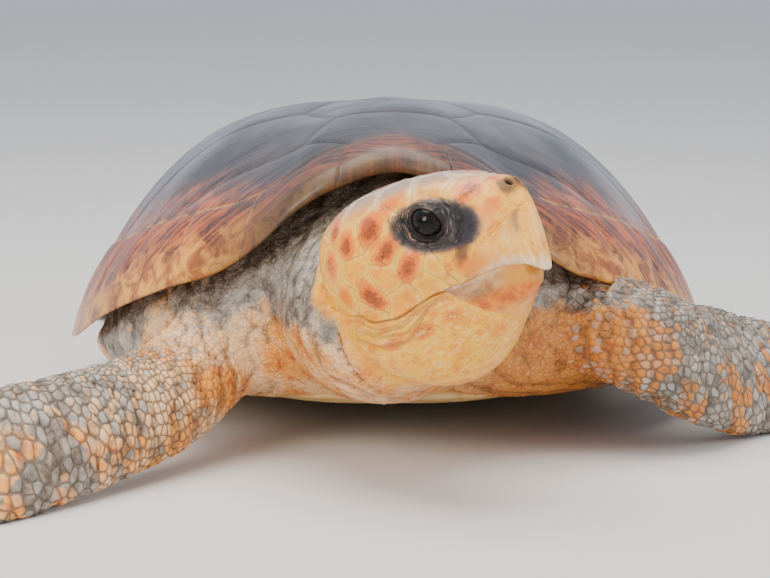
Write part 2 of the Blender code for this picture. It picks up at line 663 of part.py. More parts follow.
def build():
    carapace = make_carapace()
    plastron = make_plastron()
    trunk = make_trunk()
    head = make_head()
    jaw = make_jaw()
    neck = make_neck()
    tail = make_tail()
    flippers = {
        "right": (make_limb("front_right_whole", RIGHT_FLIPPER, 16, 1), RIGHT_FLIPPER, 1),
        "left": (make_limb("front_left_whole", LEFT_FLIPPER, 16, -1), LEFT_FLIPPER, -1),
    }
    eyes = [make_eye("eye_right", -1), make_eye("eye_left", 1)]

    cut_back(plastron, carapace)
    cut_back(trunk, carapace, plastron)
    cut_back(head, *eyes)
    cut_back(jaw, head)
    cut_back(neck, trunk, head, jaw, carapace, plastron)
    cut_back(tail, trunk, carapace, plastron)
    claws_made = []
    for name, (whole, stations, leading) in flippers.items():
        cut_back(whole, trunk, carapace, plastron, neck)
        arm, blade = part_limb(whole, stations, "front_{}_" + name)
        claws = [
            make_claw(f"front_claw_{name}_{number}", stations, place, leading)
            for number, place in enumerate(FRONT_CLAWS, 1)
        ]
        cut_back(blade, *claws)
        for skin in (arm, blade):
            finish(skin, SKIN_COLOUR, 0.6)
        claws_made += claws
    for name, side in (("left", 1), ("right", -1)):
        stations = [(row[0] * side, *row[1:]) for row in HIND_FLIPPER]
        hind = make_limb("hind_flipper_" + name, stations, 11, side)
        cut_back(hind, trunk, carapace, plastron, tail)
        claws = [
            make_claw(f"hind_claw_{name}_{number}", stations, place, side)
            for number, place in enumerate(HIND_CLAWS, 1)
        ]
        cut_back(hind, *claws)
        finish(hind, SKIN_COLOUR, 0.6)
        claws_made += claws
    upper_beak = part_horn(head, BEAK_LINE, "upper_beak", 1)
    lower_beak = part_horn(jaw, CHIN_LINE, "lower_beak", -1)

    finish(plastron, PLASTRON_COLOUR, 0.5)
    for horn in (carapace, *claws_made):
        finish(horn, SHELL_COLOUR, 0.35)
    for skin in (trunk, neck, tail):
        finish(skin, SKIN_COLOUR, 0.6)
    for hard in (head, jaw, upper_beak, lower_beak):
        finish(hard, HEAD_COLOUR, 0.4)
    for eye in eyes:
        finish(eye, EYE_COLOUR, 0.08)


for old in list(bpy.data.objects):
    bpy.data.objects.remove(old, do_unlink=True)
build()
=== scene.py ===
"""Looks of a life-size loggerhead turtle, in metres: +Z up, the turtle faces -Y and +X is to its own left."""

import math

import bpy
import numpy as np
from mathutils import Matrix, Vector
from numpy.linalg import norm


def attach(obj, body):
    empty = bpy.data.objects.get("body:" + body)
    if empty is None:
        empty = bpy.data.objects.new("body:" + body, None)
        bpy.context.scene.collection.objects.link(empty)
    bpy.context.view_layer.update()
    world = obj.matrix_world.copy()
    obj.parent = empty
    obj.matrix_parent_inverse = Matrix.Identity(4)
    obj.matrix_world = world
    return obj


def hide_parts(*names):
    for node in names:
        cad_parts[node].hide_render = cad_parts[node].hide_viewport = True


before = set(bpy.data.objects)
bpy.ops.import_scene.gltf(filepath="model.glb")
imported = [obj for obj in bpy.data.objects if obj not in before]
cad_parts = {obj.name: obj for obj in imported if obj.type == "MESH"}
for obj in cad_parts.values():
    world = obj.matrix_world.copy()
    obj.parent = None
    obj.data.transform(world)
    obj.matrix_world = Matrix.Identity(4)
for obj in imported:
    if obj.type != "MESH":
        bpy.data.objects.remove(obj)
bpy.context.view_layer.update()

# ------------------------------------------------------------------ camera
# A long lens from low in front, near the turtle's own eye level.
AIM = (-0.0072, -0.3317, 0.188)
VIEW_TURN, VIEW_RISE = math.radians(-1.0), math.radians(9.0)
VIEW_DISTANCE = 3.4
LENS = 147.8


def heading(turn, rise):
    """One metre straight ahead (-Y), turned to the turtle's left and raised."""
    return np.array((math.sin(turn) * math.cos(rise), -math.cos(turn) * math.cos(rise), math.sin(rise)))


def linked(name, data):
    """A new object in the scene."""
    made = bpy.data.objects.new(name, data)
    bpy.context.collection.objects.link(made)
    return made


def stood(name, data, place, behind):
    """A camera or a lamp in its place, with its back turned along `behind`."""
    stand = linked(name, data)
    stand.location = place
    stand.rotation_euler = behind.to_track_quat("Z", "Y").to_euler()
    return stand


lens = bpy.data.cameras.new("long_lens")
lens.lens = LENS
away = Vector(heading(VIEW_TURN, VIEW_RISE))
bpy.context.scene.camera = stood("camera", lens, Vector(AIM) + away * VIEW_DISTANCE, away)

# ------------------------------------------------------------------ studio
# A pale seamless floor under three large soft lights, as in a museum's own studio.
FLOOR_HALF = 30.0
LIGHT_COLOUR = (1.0, 0.935, 0.85)
ROOM_COLOUR, ROOM_STRENGTH = "e0e9f8", 0.9
# Lights: name, place, point aimed at, width, strength in watts.
LIGHTS = (
    ("overhead_softbox", (-0.3, -0.2, 3.0), (0.0, -0.1, 0.2), 3.0, 128.0),
    ("front_softbox", (-2.2, -3.4, 1.9), (0.0, -0.3, 0.15), 2.0, 104.0),
    ("side_softbox", (3.2, -1.6, 1.7), (0.0, -0.2, 0.15), 1.8, 40.0),
)


def hexed(code):
    """A colour written as six hex digits, as linear red, green, blue and opaque alpha."""
    parts = [int(code[k : k + 2], 16) / 255 for k in (0, 2, 4)]
    return (*(p / 12.92 if p < 0.04045 else ((p + 0.055) / 1.055) ** 2.4 for p in parts), 1.0)


def maths(operation, turned=False):
    """A method that adds one Math node; where `turned`, the other value comes first."""

    def work(flow, *others):
        values = (*others, flow) if turned else (flow, *others)
        return flow.look.add("Math", {"operation": operation}, dict(enumerate(values)))

    return work


class Flow:
    """A number, colour or vector on its way through a material; arithmetic on it adds Math nodes."""

    __add__ = __radd__ = maths("ADD")
    __sub__, __rsub__ = maths("SUBTRACT"), maths("SUBTRACT", turned=True)
    __mul__ = __rmul__ = maths("MULTIPLY")
    __truediv__, __abs__ = maths("DIVIDE"), maths("ABSOLUTE")
    least, most = maths("MINIMUM"), maths("MAXIMUM")

    def __init__(self, look, socket):
        self.look, self.socket = look, socket

    def sway(self, width):
        """A noise's swing about nothing, `width` from end to end."""
        return (self - 0.5) * width

    def step(self, low, high):
        """0 below `low` and 1 above `high`, smooth between; the other way round if `low` is above `high`."""
        ends = {"Value": self, "From Min": low, "From Max": high}
        return self.look.add("MapRange", {"interpolation_type": "SMOOTHSTEP"}, ends)

    def under(self, coat, share):
        """This colour with a coat of another laid over it, by a share."""
        return self.look.mix(share, self, coat)


class Look:
    """A material for one finish: its constants go straight on the shader, and `add` makes any other node."""

    def __init__(self, name, **constants):
        self.material = bpy.data.materials.new(name)
        self.material.use_nodes = True
        self.tree = self.material.node_tree
        self.shader = self.tree.nodes["Principled BSDF"]
        for socket, value in constants.items():
            self.shader.inputs[socket.replace("_", " ")].default_value = value

    def add(self, kind, settings, inputs, output=0):
        """A node of the type, with its settings made first, then the values or links of its sockets."""
        node = self.tree.nodes.new("ShaderNode" + kind)
        for name, value in settings.items():
            setattr(node, name, value)
        for name, value in inputs.items():
            self.feed(node.inputs[name], value)
        return Flow(self, node.outputs[output])

    def feed(self, socket, value):
        """Links a flow to a socket, or sets the socket's own value."""
        if isinstance(value, Flow):
            self.tree.links.new(value.socket, socket)
        else:
            socket.default_value = value

    def wear(self, **sockets):
        """Links what varies over the surface to the shader's own sockets."""
        for name, value in sockets.items():
            self.feed(self.shader.inputs[name.replace("_", " ")], value)

    def place(self):
        return self.add("TexCoord", {}, {}, "Object")

    def read(self, name, output="Fac"):
        """A value kept at each point of the mesh."""
        return self.add("Attribute", {"attribute_name": name}, {}, output)

    def reads(self, *names):
        """Several such values, in order."""
        return [self.read(name) for name in names]

    def noise(self, vector, scale, detail=3.0, rough=0.5, bend=0.0):
        sockets = {"Vector": vector, "Scale": scale, "Detail": detail, "Roughness": rough, "Distortion": bend}
        return self.add("TexNoise", {}, sockets)

    def grains(self, vector):
        """Two noises that most finishes share: a mottle of 17 mm and a fine one of 3 mm."""
        return self.noise(vector, 60.0, 4.0, 0.65, 0.5), self.noise(vector, 300.0, 3.0, 0.6)

    def cells(self, vector, scale):
        """Distance from the borders of a pattern of cells."""
        sockets = {"Vector": vector, "Scale": scale}
        return self.add("TexVoronoi", {"feature": "DISTANCE_TO_EDGE"}, sockets, "Distance")

    def vectors(self, operation, first, second):
        return self.add("VectorMath", {"operation": operation}, {0: first, 1: second})

    def parts(self, vector, axes):
        """A vector's numbers along the axes named."""
        return [self.add("SeparateXYZ", {}, {0: vector}, axis) for axis in axes]

    def mix(self, share, first, second):
        """Two colours, as hex codes or flows, mixed by a share."""
        first, second = (hexed(c) if isinstance(c, str) else c for c in (first, second))
        return self.add("Mix", {"data_type": "RGBA"}, {0: share, 6: first, 7: second}, 2)

    def bump(self, height, distance, below=None):
        """Relief `distance` metres high where `height` is 1, laid over any relief below it."""
        inputs = {"Height": height, "Distance": distance}
        if below:
            inputs["Normal"] = below
        return self.add("Bump", {}, inputs)


studio_floor = bpy.data.meshes.new("studio_floor")
corners = [(x * FLOOR_HALF, y * FLOOR_HALF, 0.0) for x, y in ((-1, -1), (1, -1), (1, 1), (-1, 1))]
studio_floor.from_pydata(corners, [], [(0, 1, 2, 3)])
floor = linked("studio_floor", studio_floor)
pale = Look("pale_floor", Roughness=0.85)
pale.wear(Base_Color=pale.mix(pale.noise(pale.place(), 1.2), "d6d4d1", "dddbd8"))
floor.data.materials.append(pale.material)

for name, place, aim, width, strength in LIGHTS:
    softbox = bpy.data.lights.new(name, "AREA")
    softbox.shape, softbox.size, softbox.energy = "DISK", width, strength
    softbox.color = LIGHT_COLOUR
    stood(name, softbox, place, Vector(place) - Vector(aim))

room = bpy.data.worlds.new("studio_room")
room.use_nodes = True
room_light = room.node_tree.nodes["Background"].inputs
room_light["Color"].default_value, room_light["Strength"].default_value = hexed(ROOM_COLOUR), ROOM_STRENGTH
bpy.context.scene.world = room

# ------------------------------------------------------------------ carapace
# The upper shell: horn scutes over fused ribs. Five scutes run down the back, five down each side and
# twelve round each margin. The horn is wet and dark, and reddish with a yellow edge at the margin.
BODY_PITCH = math.radians(5.0)
PITCH_PIVOT_Y = 0.16
REST_SHIFT_Y = -0.075
PLASTRON_SINK = 0.0014
MODEL_SHIFT = np.array((0.0028, 0.1183, 0.0))
SHELL_CENTRE_Y = -0.03
SHELL_CROWN_Z = 0.340
SHELL_DOME_POWER = 3.2
SHELL_CROWN_THICK = 0.030
FLARE_START, FLARE_LIFT = 0.84, 0.14
BROW = 0.9
# Rim, from the nuchal notch round one side to the tail notch: x, y, height, thickness, trunk's share.
SHELL_RIM = (
    (0.000, -0.435, 0.268, 0.022, 0.965),
    (0.060, -0.443, 0.252, 0.022, 0.960),
    (0.105, -0.440, 0.226, 0.021, 0.955),
    (0.147, -0.425, 0.188, 0.020, 0.950),
    (0.192, -0.402, 0.158, 0.019, 0.950),
    (0.250, -0.350, 0.138, 0.017, 0.950),
    (0.318, -0.245, 0.104, 0.015, 0.950),
    (0.360, -0.115, 0.070, 0.014, 0.935),
    (0.378, 0.020, 0.058, 0.013, 0.910),
    (0.364, 0.150, 0.064, 0.012, 0.890),
    (0.318, 0.270, 0.080, 0.012, 0.870),
    (0.234, 0.378, 0.096, 0.011, 0.850),
    (0.122, 0.452, 0.102, 0.011, 0.840),
    (0.042, 0.486, 0.100, 0.011, 0.840),
    (0.000, 0.478, 0.098, 0.011, 0.840),
)
SHELL_RAYS, SHELL_ROWS = 600, 124
# Rounded edge and hollow underside, from the outer face in: reach, and depth in rim thicknesses.
EDGE_ROWS = ((1.0, 0.30), (1.004, 0.55), (1.001, 0.80), (0.99, 0.97), (0.975, 1.0))
UNDER_ROWS = ((0.94, 1.3), (0.90, 1.5), (0.80, 1.8), (0.60, 1.8), (0.30, 1.8))
# Zigzag border of the scutes down the back: place along the shell, half width.
BACK_BORDER = (
    (-0.392, 0.045),
    (-0.330, 0.095),
    (-0.262, 0.062),
    (-0.175, 0.098),
    (-0.088, 0.060),
    (-0.002, 0.096),
    (0.083, 0.055),
    (0.165, 0.088),
    (0.243, 0.048),
    (0.345, 0.105),
    (0.412, 0.100),
)
BACK_SEAMS = (-0.392, -0.262, -0.088, 0.083, 0.243, 0.412)
# Seams between the side scutes, from the back's border to the margin's: x, y at each end.
SIDE_SEAMS = (
    ((0.095, -0.330), (0.268, -0.262)),
    ((0.098, -0.175), (0.325, -0.110)),
    ((0.096, -0.002), (0.330, 0.070)),
    ((0.088, 0.165), (0.262, 0.258)),
)
FIRST_SIDE, LAST_SIDE = 0.16, 0.17
MARGIN_REACH, MARGIN_SWAY = 0.862, 0.012
NUCHAL_HALF = 0.062
MARGINALS = 12
# A scute's length along each row, and half widths of the painted seams on the dome and round the margin.
BACK_SCUTE, SIDE_SCUTE, MARGINAL = 0.16, 0.17, 0.105
DOME_SEAM, MARGIN_SEAM = 0.0016, 0.0022
GROOVE_WIDTH, GROOVE_DEPTH = 0.0034, 0.0013
PILLOW_RISE, PILLOW_RUN = 0.0016, 0.014
KEEL_RISE, KEEL_HALF = 0.004, 0.022
LUMP_RISE = 0.0015


def curved(rows, t):
    """The Catmull-Rom cubic: `t` of the way from the second of four rows to the third, smooth at both."""
    a, b, c, d = rows
    return 0.5 * (2 * b + (c - a) * t + (2 * a - 5 * b + 4 * c - d) * t**2 + (3 * b - a - 3 * c + d) * t**3)


def through(table, steps):
    """Rows on a smooth Catmull-Rom curve through the table's rows, at `steps` even places."""
    rows = np.array(table, float)
    rows = np.vstack([2 * rows[0] - rows[1], rows, 2 * rows[-1] - rows[-2]])
    place = np.linspace(0, len(table) - 1, steps)
    start = np.minimum(place.astype(int), len(table) - 2)
    return curved((rows[start + k] for k in range(4)), (place - start)[:, None])


def round_outline(half, count):
    """A closed outline of `count` points, smooth through a half outline and its mirror image in x."""
    half = np.array(half, float)
    mirrored = half[-2:0:-1] * np.array([-1.0] + [1.0] * (half.shape[1] - 1))
    rows = np.vstack([half, mirrored])
    lengths = norm(np.roll(rows, -1, 0)[:, :2] - rows[:, :2], axis=1)
    knots = np.concatenate([[0], np.cumsum(lengths)])
    place = np.linspace(0, knots[-1], count, endpoint=False)
    start = np.searchsorted(knots, place, side="right") - 1
    t = ((place - knots[start]) / lengths[start])[:, None]
    return curved((rows[(start + k) % len(rows)] for k in (-1, 0, 1, 2)), t)


def pitched(points):
    """Points of the level shell, leant back about the plastron's lowest line and set in their final place."""
    points = np.asarray(points, float)
    ahead, z = PITCH_PIVOT_Y - points[..., 1], points[..., 2]
    c, s = math.cos(BODY_PITCH), math.sin(BODY_PITCH)
    y = PITCH_PIVOT_Y - ahead * c + z * s + REST_SHIFT_Y
    return np.stack([points[..., 0], y, z * c + ahead * s - PLASTRON_SINK], -1) + MODEL_SHIFT


def levelled(points):
    """The way back: final places as places in the level shell."""
    x, y, z = np.moveaxis(np.asarray(points, float) - MODEL_SHIFT, -1, 0)
    c, s = math.cos(BODY_PITCH), math.sin(BODY_PITCH)
    behind, z = y - REST_SHIFT_Y - PITCH_PIVOT_Y, z + PLASTRON_SINK
    ahead = z * s - behind * c
    return np.stack([x, PITCH_PIVOT_Y - ahead, behind * s + z * c], -1)


def ease(value, low, high):
    """0 below `low` and 1 above `high`, with a smooth rise between."""
    t = np.clip((value - low) / (high - low), 0, 1)
    return t * t * (3 - 2 * t)


def ridge(distance, width):
    """A rounded bump: 1 where the distance is 0, falling away within `width`."""
    return np.exp(-((distance / width) ** 2))


def on_rays(rim, reach):
    """x and y at a share of the way from the shell's middle to each rim point."""
    return rim[:, 0] * reach, SHELL_CENTRE_Y + (rim[:, 1] - SHELL_CENTRE_Y) * reach


def dome(rim, reach):
    """The outer face: on the ray to each rim point, the height falls from the crown as a power of reach."""
    x, y = on_rays(rim, reach)
    flare = np.clip((reach - FLARE_START) / (1 - FLARE_START), 0, 1)
    fall = reach**SHELL_DOME_POWER * (1 - FLARE_LIFT * flare * (1 - flare))
    z = SHELL_CROWN_Z - (SHELL_CROWN_Z - rim[:, 2] - rim[:, 3] * BROW) * fall
    return np.stack([x, y, z], -1)


def unit(vectors):
    """Vectors made one long; one with no length stays so."""
    return vectors / np.maximum(norm(vectors, axis=-1, keepdims=True), 1e-15)


def grid_normals(rings):
    """Outward directions on a grid of rings that goes from a pole outwards and down."""
    along = np.gradient(rings, axis=0)
    around = np.roll(rings, -1, 1) - np.roll(rings, 1, 1)
    return unit(np.cross(along, around))


def closed_grid(rings, first_pole, last_pole):
    """Points and outward triangles of rings joined in a tube, with a pole closing each end."""
    count, across = rings.shape[:2]
    points = np.concatenate([rings.reshape(-1, 3), [first_pole], [last_pole]])
    here = np.arange(count * across).reshape(count, across)
    ahead = np.roll(here, -1, 1)
    low, low_next, high, high_next = here[:-1], ahead[:-1], here[1:], ahead[1:]
    triangles = [np.stack([low, low_next, high_next], -1), np.stack([low, high_next, high], -1)]
    for ring, beside, pole in ((here[0], ahead[0], 0), (ahead[-1], here[-1], 1)):
        triangles.append(np.stack([beside, ring, np.full(across, count * across + pole)], -1))
    triangles = np.concatenate([t.reshape(-1, 3) for t in triangles])
    return points, faced_out(points, triangles)


def faced_out(points, triangles):
    """The triangles of a closed shape, turned over if its volume comes out negative."""
    a, b, c = (points[triangles[:, k]] for k in range(3))
    return triangles if (np.cross(a, b) * c).sum() > 0 else triangles[:, ::-1]


def piece_of(name, points, triangles, kept=None):
    """A smooth mesh object from arrays, with a value kept at each point for every name in `kept`."""
    mesh = bpy.data.meshes.new(name)
    mesh.vertices.add(len(points))
    mesh.vertices.foreach_set("co", np.asarray(points, np.float32).ravel())
    mesh.loops.add(triangles.size)
    mesh.loops.foreach_set("vertex_index", np.asarray(triangles, np.int32).ravel())
    mesh.polygons.add(len(triangles))
    mesh.polygons.foreach_set("loop_start", np.arange(0, triangles.size, 3, dtype=np.int32))
    mesh.update(calc_edges=True)
    mesh.validate()
    mesh.shade_smooth()
    for key, values in (kept or {}).items():
        values = np.asarray(values, np.float32)
        if values.ndim == 2:
            mesh.attributes.new(key, "FLOAT_VECTOR", "POINT").data.foreach_set("vector", values.ravel())
        else:
            mesh.attributes.new(key, "FLOAT", "POINT").data.foreach_set("value", values)
    return linked(name, mesh)


def fit(piece, look, slot, *nodes):
    """Gives a piece its finish, sets it on the root body, and hides the model's solids that it stands for."""
    piece.data.materials.append(look.material)
    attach(piece, "root")
    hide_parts(*nodes)


def scute_fields(rim, reach):
    """Signed places among the scutes, all zero or whole at a seam.

    `across` is metres out from the back row's border, `back` and `side` count scutes along those rows,
    `edge` is metres out from the margin's border, and `mark` counts marginals round the rim.
    """
    x, y = on_rays(rim, reach[:, None])
    x = np.abs(x)
    across = x - np.interp(y, *np.transpose(BACK_BORDER))
    back = np.interp(y + 0.012 * (x / 0.09) ** 2, BACK_SEAMS, np.arange(len(BACK_SEAMS)))
    lines = [y0 + (y1 - y0) * (x - x0) / (x1 - x0) for (x0, y0), (x1, y1) in SIDE_SEAMS]
    lines = [lines[0] - FIRST_SIDE, *lines, lines[-1] + LAST_SIDE]
    side = sum(np.clip((y - low) / (high - low), 0, 1) for low, high in zip(lines, lines[1:]))
    span = norm(rim[:, :2] - (0, SHELL_CENTRE_Y), axis=1)
    angle = np.linspace(0, math.tau, len(rim), endpoint=False)
    edge = (reach[:, None] - MARGIN_REACH - MARGIN_SWAY * np.cos(angle)) * span
    stride = norm(np.roll(rim, -1, 0)[:, :2] - rim[:, :2], axis=1)
    run = np.concatenate([[0], np.cumsum(stride)[:-1]])
    run = np.minimum(run, stride.sum() - run)
    mark = (run - NUCHAL_HALF) / (stride.sum() / 2 - NUCHAL_HALF) * MARGINALS
    return across, back, side, edge, np.broadcast_to(mark, x.shape)


def off_whole(count):
    """How far a running count is from the nearest whole number."""
    return np.abs(count - np.round(count))


def make_carapace():
    """The dome's grid is lowered at each seam, and pillowed between seams, along its own normals."""
    rim = round_outline(SHELL_RIM, SHELL_RAYS)
    reach = np.linspace(0.012, 0.985, SHELL_ROWS)
    fields = scute_fields(rim, reach)
    across, back, side, edge, mark = fields
    to_edge, to_across = np.abs(edge), np.abs(across)
    on_margin = np.minimum(to_edge, off_whole(mark) * MARGINAL)
    along_row = np.where(across < 0, off_whole(back) * BACK_SCUTE, off_whole(side) * SIDE_SCUTE)
    to_seam = np.where(edge > 0, on_margin, np.minimum(to_edge, np.minimum(to_across, along_row)))
    outer = np.array([dome(rim, r) for r in reach])
    normals = -grid_normals(outer)
    normals *= np.sign(normals[..., 2:])
    lift = PILLOW_RISE * (1 - np.exp(-to_seam / PILLOW_RUN)) - GROOVE_DEPTH * ridge(to_seam, GROOVE_WIDTH)
    x, y, _ = np.moveaxis(outer, -1, 0)
    keel = KEEL_RISE * ridge(x, KEEL_HALF) * ease(across, 0.002, -0.002) * ease(y, -0.15, 0.2)
    lumps = LUMP_RISE * np.sin(x * 31 + 1.3) * np.sin(y * 27 + 0.4)
    outer = outer + normals * ((lift + keel + lumps) * ease(1.0 - reach, 0.0, 0.06)[:, None])[..., None]
    rings = [outer]
    for share, depth in EDGE_ROWS + UNDER_ROWS:
        ring = dome(rim, min(share, 1.0))
        ring[:, 0], ring[:, 1] = on_rays(rim, share)
        ring[:, 2] -= rim[:, 3] * depth
        rings.append(ring[None])
    rings = pitched(np.concatenate(rings))
    top = pitched((0.0, SHELL_CENTRE_Y, SHELL_CROWN_Z))
    under = pitched((0.0, SHELL_CENTRE_Y, SHELL_CROWN_Z - SHELL_CROWN_THICK))
    points, triangles = closed_grid(rings, top, under)
    kept = {}
    beyond = len(rings) - len(reach)
    for name, field in zip(("across", "back", "side", "edge", "mark"), fields):
        tail = np.repeat(field[-1:], beyond, 0)
        kept[name] = np.concatenate([np.concatenate([field, tail]).ravel(), [field[0, 0], field[-1, 0]]])
    return piece_of("carapace_horn", points, triangles, kept)


def seam_line(distance, half_width):
    """1 on a seam and 0 beyond `half_width` of it."""
    return distance.step(half_width, half_width * 0.25)


def whole_line(count, pitch, half_width):
    """1 where a running count is whole, for scutes `pitch` metres long."""
    off = abs(count.look.add("Math", {"operation": "PINGPONG"}, {0: count, 1: 0.5}))
    return (off * pitch).step(half_width, half_width * 0.25)


def horn_finish():
    look = Look("wet_dark_horn", Coat_Roughness=0.12, Specular_IOR_Level=0.5)
    place = look.place()
    across, back, side, edge, mark = look.reads("across", "back", "side", "edge", "mark")
    cloudy, mottle = look.noise(place, 7.0, 5.0, 0.6), look.noise(place, 38.0, 4.0, 0.65, 0.6)
    grit = look.noise(place, 260.0, 3.0, 0.6)
    growth = look.add("CombineXYZ", {}, {0: side * 16.0 + back * 5.0, 1: edge * 9.0, 2: across * 6.0})
    streaks = look.noise(growth, 2.4, 5.0, 0.65, 0.4)
    margin = edge.step(-0.004, 0.004)
    nuchal = mark.step(1.9, 0.6)
    near_margin = (edge + mottle.sway(0.05) - nuchal * 0.03).step(-0.055, 0.012)
    dark = look.mix(streaks.step(0.34, 0.68), "161418", "39333a")
    brown = look.mix(streaks.step(0.4, 0.6), "2a1e1a", "5e3a24")
    dark = dark.under(brown, cloudy.step(0.42, 0.7) * 0.5)
    warm = look.mix(mottle.step(0.36, 0.62), "5a2a14", "b04e14")
    warm = warm.under("ee7a1c", streaks.step(0.46, 0.70) * 0.8)
    colour = look.mix(near_margin * streaks.step(0.28, 0.58) * (1.0 - nuchal * 0.6), dark, warm)
    # The margin over the neck is dark olive brown; round the sides it turns orange, then yellow at its edge.
    rim = (edge + mottle.sway(0.045)).step(0.024, 0.054)
    edging = look.mix(mottle.step(0.4, 0.6), "b0601a", "f0a83a")
    colour = colour.under(look.mix(nuchal * 0.9, edging, "3a3220"), rim * 0.85)
    inland = 1.0 - margin
    across_line = seam_line(abs(across), DOME_SEAM) * inland
    back_line = whole_line(back, BACK_SCUTE, DOME_SEAM) * across.step(0.001, -0.001) * inland
    side_line = whole_line(side, SIDE_SCUTE, DOME_SEAM) * across.step(-0.001, 0.001) * inland
    dome_lines = across_line.most(back_line).most(side_line)
    mark_line = whole_line(mark, MARGINAL, MARGIN_SEAM) * margin
    edge_line = seam_line(abs(edge), MARGIN_SEAM)
    colour = colour.under("1c1716", dome_lines * 0.8)
    seam = look.mix(mottle.step(0.35, 0.6) * (1.0 - nuchal * 0.8), "3a2a1e", "d69a3c")
    colour = colour.under(seam, mark_line.most(edge_line) * 0.75)
    colour = colour.under("8a8076", grit.step(0.62, 0.8) * 0.22)
    lines = dome_lines.most(mark_line).most(edge_line)
    relief = look.bump(0.5 * streaks + 0.35 * mottle + grit * 0.12 - lines * 0.8, 0.0011)
    wet = cloudy.step(0.3, 0.62)
    look.wear(
        Base_Color=colour,
        Roughness=0.44 - wet * 0.12 + lines * 0.2 + grit * 0.08,
        Coat_Weight=(0.6 * wet + 0.35) * (1.0 - margin * 0.7),
        Normal=relief,
    )
    return look


fit(make_carapace(), horn_finish(), "shell_horn", "carapace")

# ------------------------------------------------------------------ plastron
# The lower shell: cream-yellow horn scutes in pairs, with bridges up to the carapace on each side.
PLASTRON_OUTLINE = (
    (0.000, -0.372, 0.022),
    (0.085, -0.362, 0.022),
    (0.165, -0.305, 0.028),
    (0.240, -0.215, 0.044),
    (0.300, -0.120, 0.058),
    (0.318, 0.010, 0.058),
    (0.296, 0.120, 0.056),
    (0.225, 0.190, 0.044),
    (0.160, 0.255, 0.028),
    (0.105, 0.335, 0.019),
    (0.050, 0.385, 0.016),
    (0.000, 0.396, 0.015),
)
PLASTRON_THICK = 0.016
PLASTRON_EDGE_THIN = 0.75
PLASTRON_REAR_RISE = 0.42
PLASTRON_SEAMS = (-0.372, -0.300, -0.200, -0.060, 0.090, 0.235, 0.396)
BRIDGE_SEAM = 0.205
PLASTRON_SCUTE, PLASTRON_SEAM = 0.13, 0.002
PLASTRON_GROOVE, PLASTRON_GROOVE_HALF = 0.0014, 0.004
PLASTRON_RAYS = 240


def plastron_fields(x, y):
    """Metres from the middle seam, a running count of the scutes, and metres out from the bridge's seam."""
    bar = np.interp(y, PLASTRON_SEAMS, np.arange(len(PLASTRON_SEAMS)))
    return {"mid": x, "bar": bar, "flank": np.abs(x) - BRIDGE_SEAM}


def make_plastron():
    """A shallow dish: the underside rises as the fourth power of reach, and is grooved along its seams."""
    outline = round_outline(PLASTRON_OUTLINE, PLASTRON_RAYS)
    outer_reach = np.concatenate([np.linspace(0.02, 0.985, 60), [0.997]])
    inner_reach = np.array([0.997, 0.985, 0.85, 0.6, 0.3])

    def underside(reach):
        x, y = outline[:, 0] * reach[:, None], outline[:, 1] * reach[:, None]
        rear = np.maximum(y - PITCH_PIVOT_Y, 0) ** 2 * PLASTRON_REAR_RISE
        return np.stack([x, y, outline[:, 2] * reach[:, None] ** 4 + rear], -1)

    outer, inner = underside(outer_reach), underside(inner_reach)
    mid, bar, flank = plastron_fields(outer[..., 0], outer[..., 1]).values()
    to_seam = np.minimum(np.minimum(off_whole(bar) * PLASTRON_SCUTE, np.abs(mid)), np.abs(flank))
    outer[..., 2] += PLASTRON_GROOVE * ridge(to_seam, PLASTRON_GROOVE_HALF)
    thick = np.array([0.3, PLASTRON_EDGE_THIN, 1.0, 1.0, 1.0]) * PLASTRON_THICK
    inner[..., 2] += thick[:, None]
    rings = pitched(np.concatenate([outer, inner]))
    rings[..., 2] = np.maximum(rings[..., 2], 0.0)
    under = pitched((0.0, 0.0, 0.0)) * (1, 1, 0)
    points, triangles = closed_grid(rings, under, pitched((0.0, 0.0, PLASTRON_THICK)))
    x, y, _ = levelled(points).T
    return piece_of("plastron_horn", points, triangles, plastron_fields(x, y))


def plastron_finish():
    look = Look("cream_horn", Coat_Roughness=0.3)
    place = look.place()
    mottle, grit = look.noise(place, 24.0, 5.0, 0.6, 0.5), look.noise(place, 220.0, 3.0)
    mid, bar, flank = look.reads("mid", "bar", "flank")
    lines = seam_line(abs(mid), PLASTRON_SEAM).most(whole_line(bar, PLASTRON_SCUTE, PLASTRON_SEAM))
    lines = lines.most(seam_line(abs(flank), PLASTRON_SEAM))
    colour = look.mix(mottle.step(0.35, 0.65), "c79a52", "e6c98c")
    colour = colour.under("b67636", mottle.step(0.56, 0.7) * 0.5)
    colour = colour.under("6d4c2b", lines * 0.7)
    look.wear(
        Base_Color=colour,
        Roughness=0.46 + grit * 0.2,
        Normal=look.bump(mottle * 0.4 + grit * 0.2 - lines * 0.6, 0.0012),
    )
    return look


fit(make_plastron(), plastron_finish(), "plastron_horn", "plastron")

# ------------------------------------------------------------------ skin
# One skin covers trunk, neck, head, flippers and tail. It is leathery and creased on the body, and hard
# and plated on the head, with wrinkled lids round each eye.
TRUNK_WAIST = (0.030, 0.60)
TRUNK_FLOOR_Z = 0.015
TRUNK_LEVELS = ((0.97, 1.25), (1.0, 0.92), (0.985, 0.60), (0.94, 0.28), (0.86, 0.08), (0.70, 0.0))
HEAD_ORIGIN = np.array((0.0425, -0.635, 0.242)) + MODEL_SHIFT
HEAD_YAW, HEAD_PITCH = math.radians(45.0), math.radians(20.0)
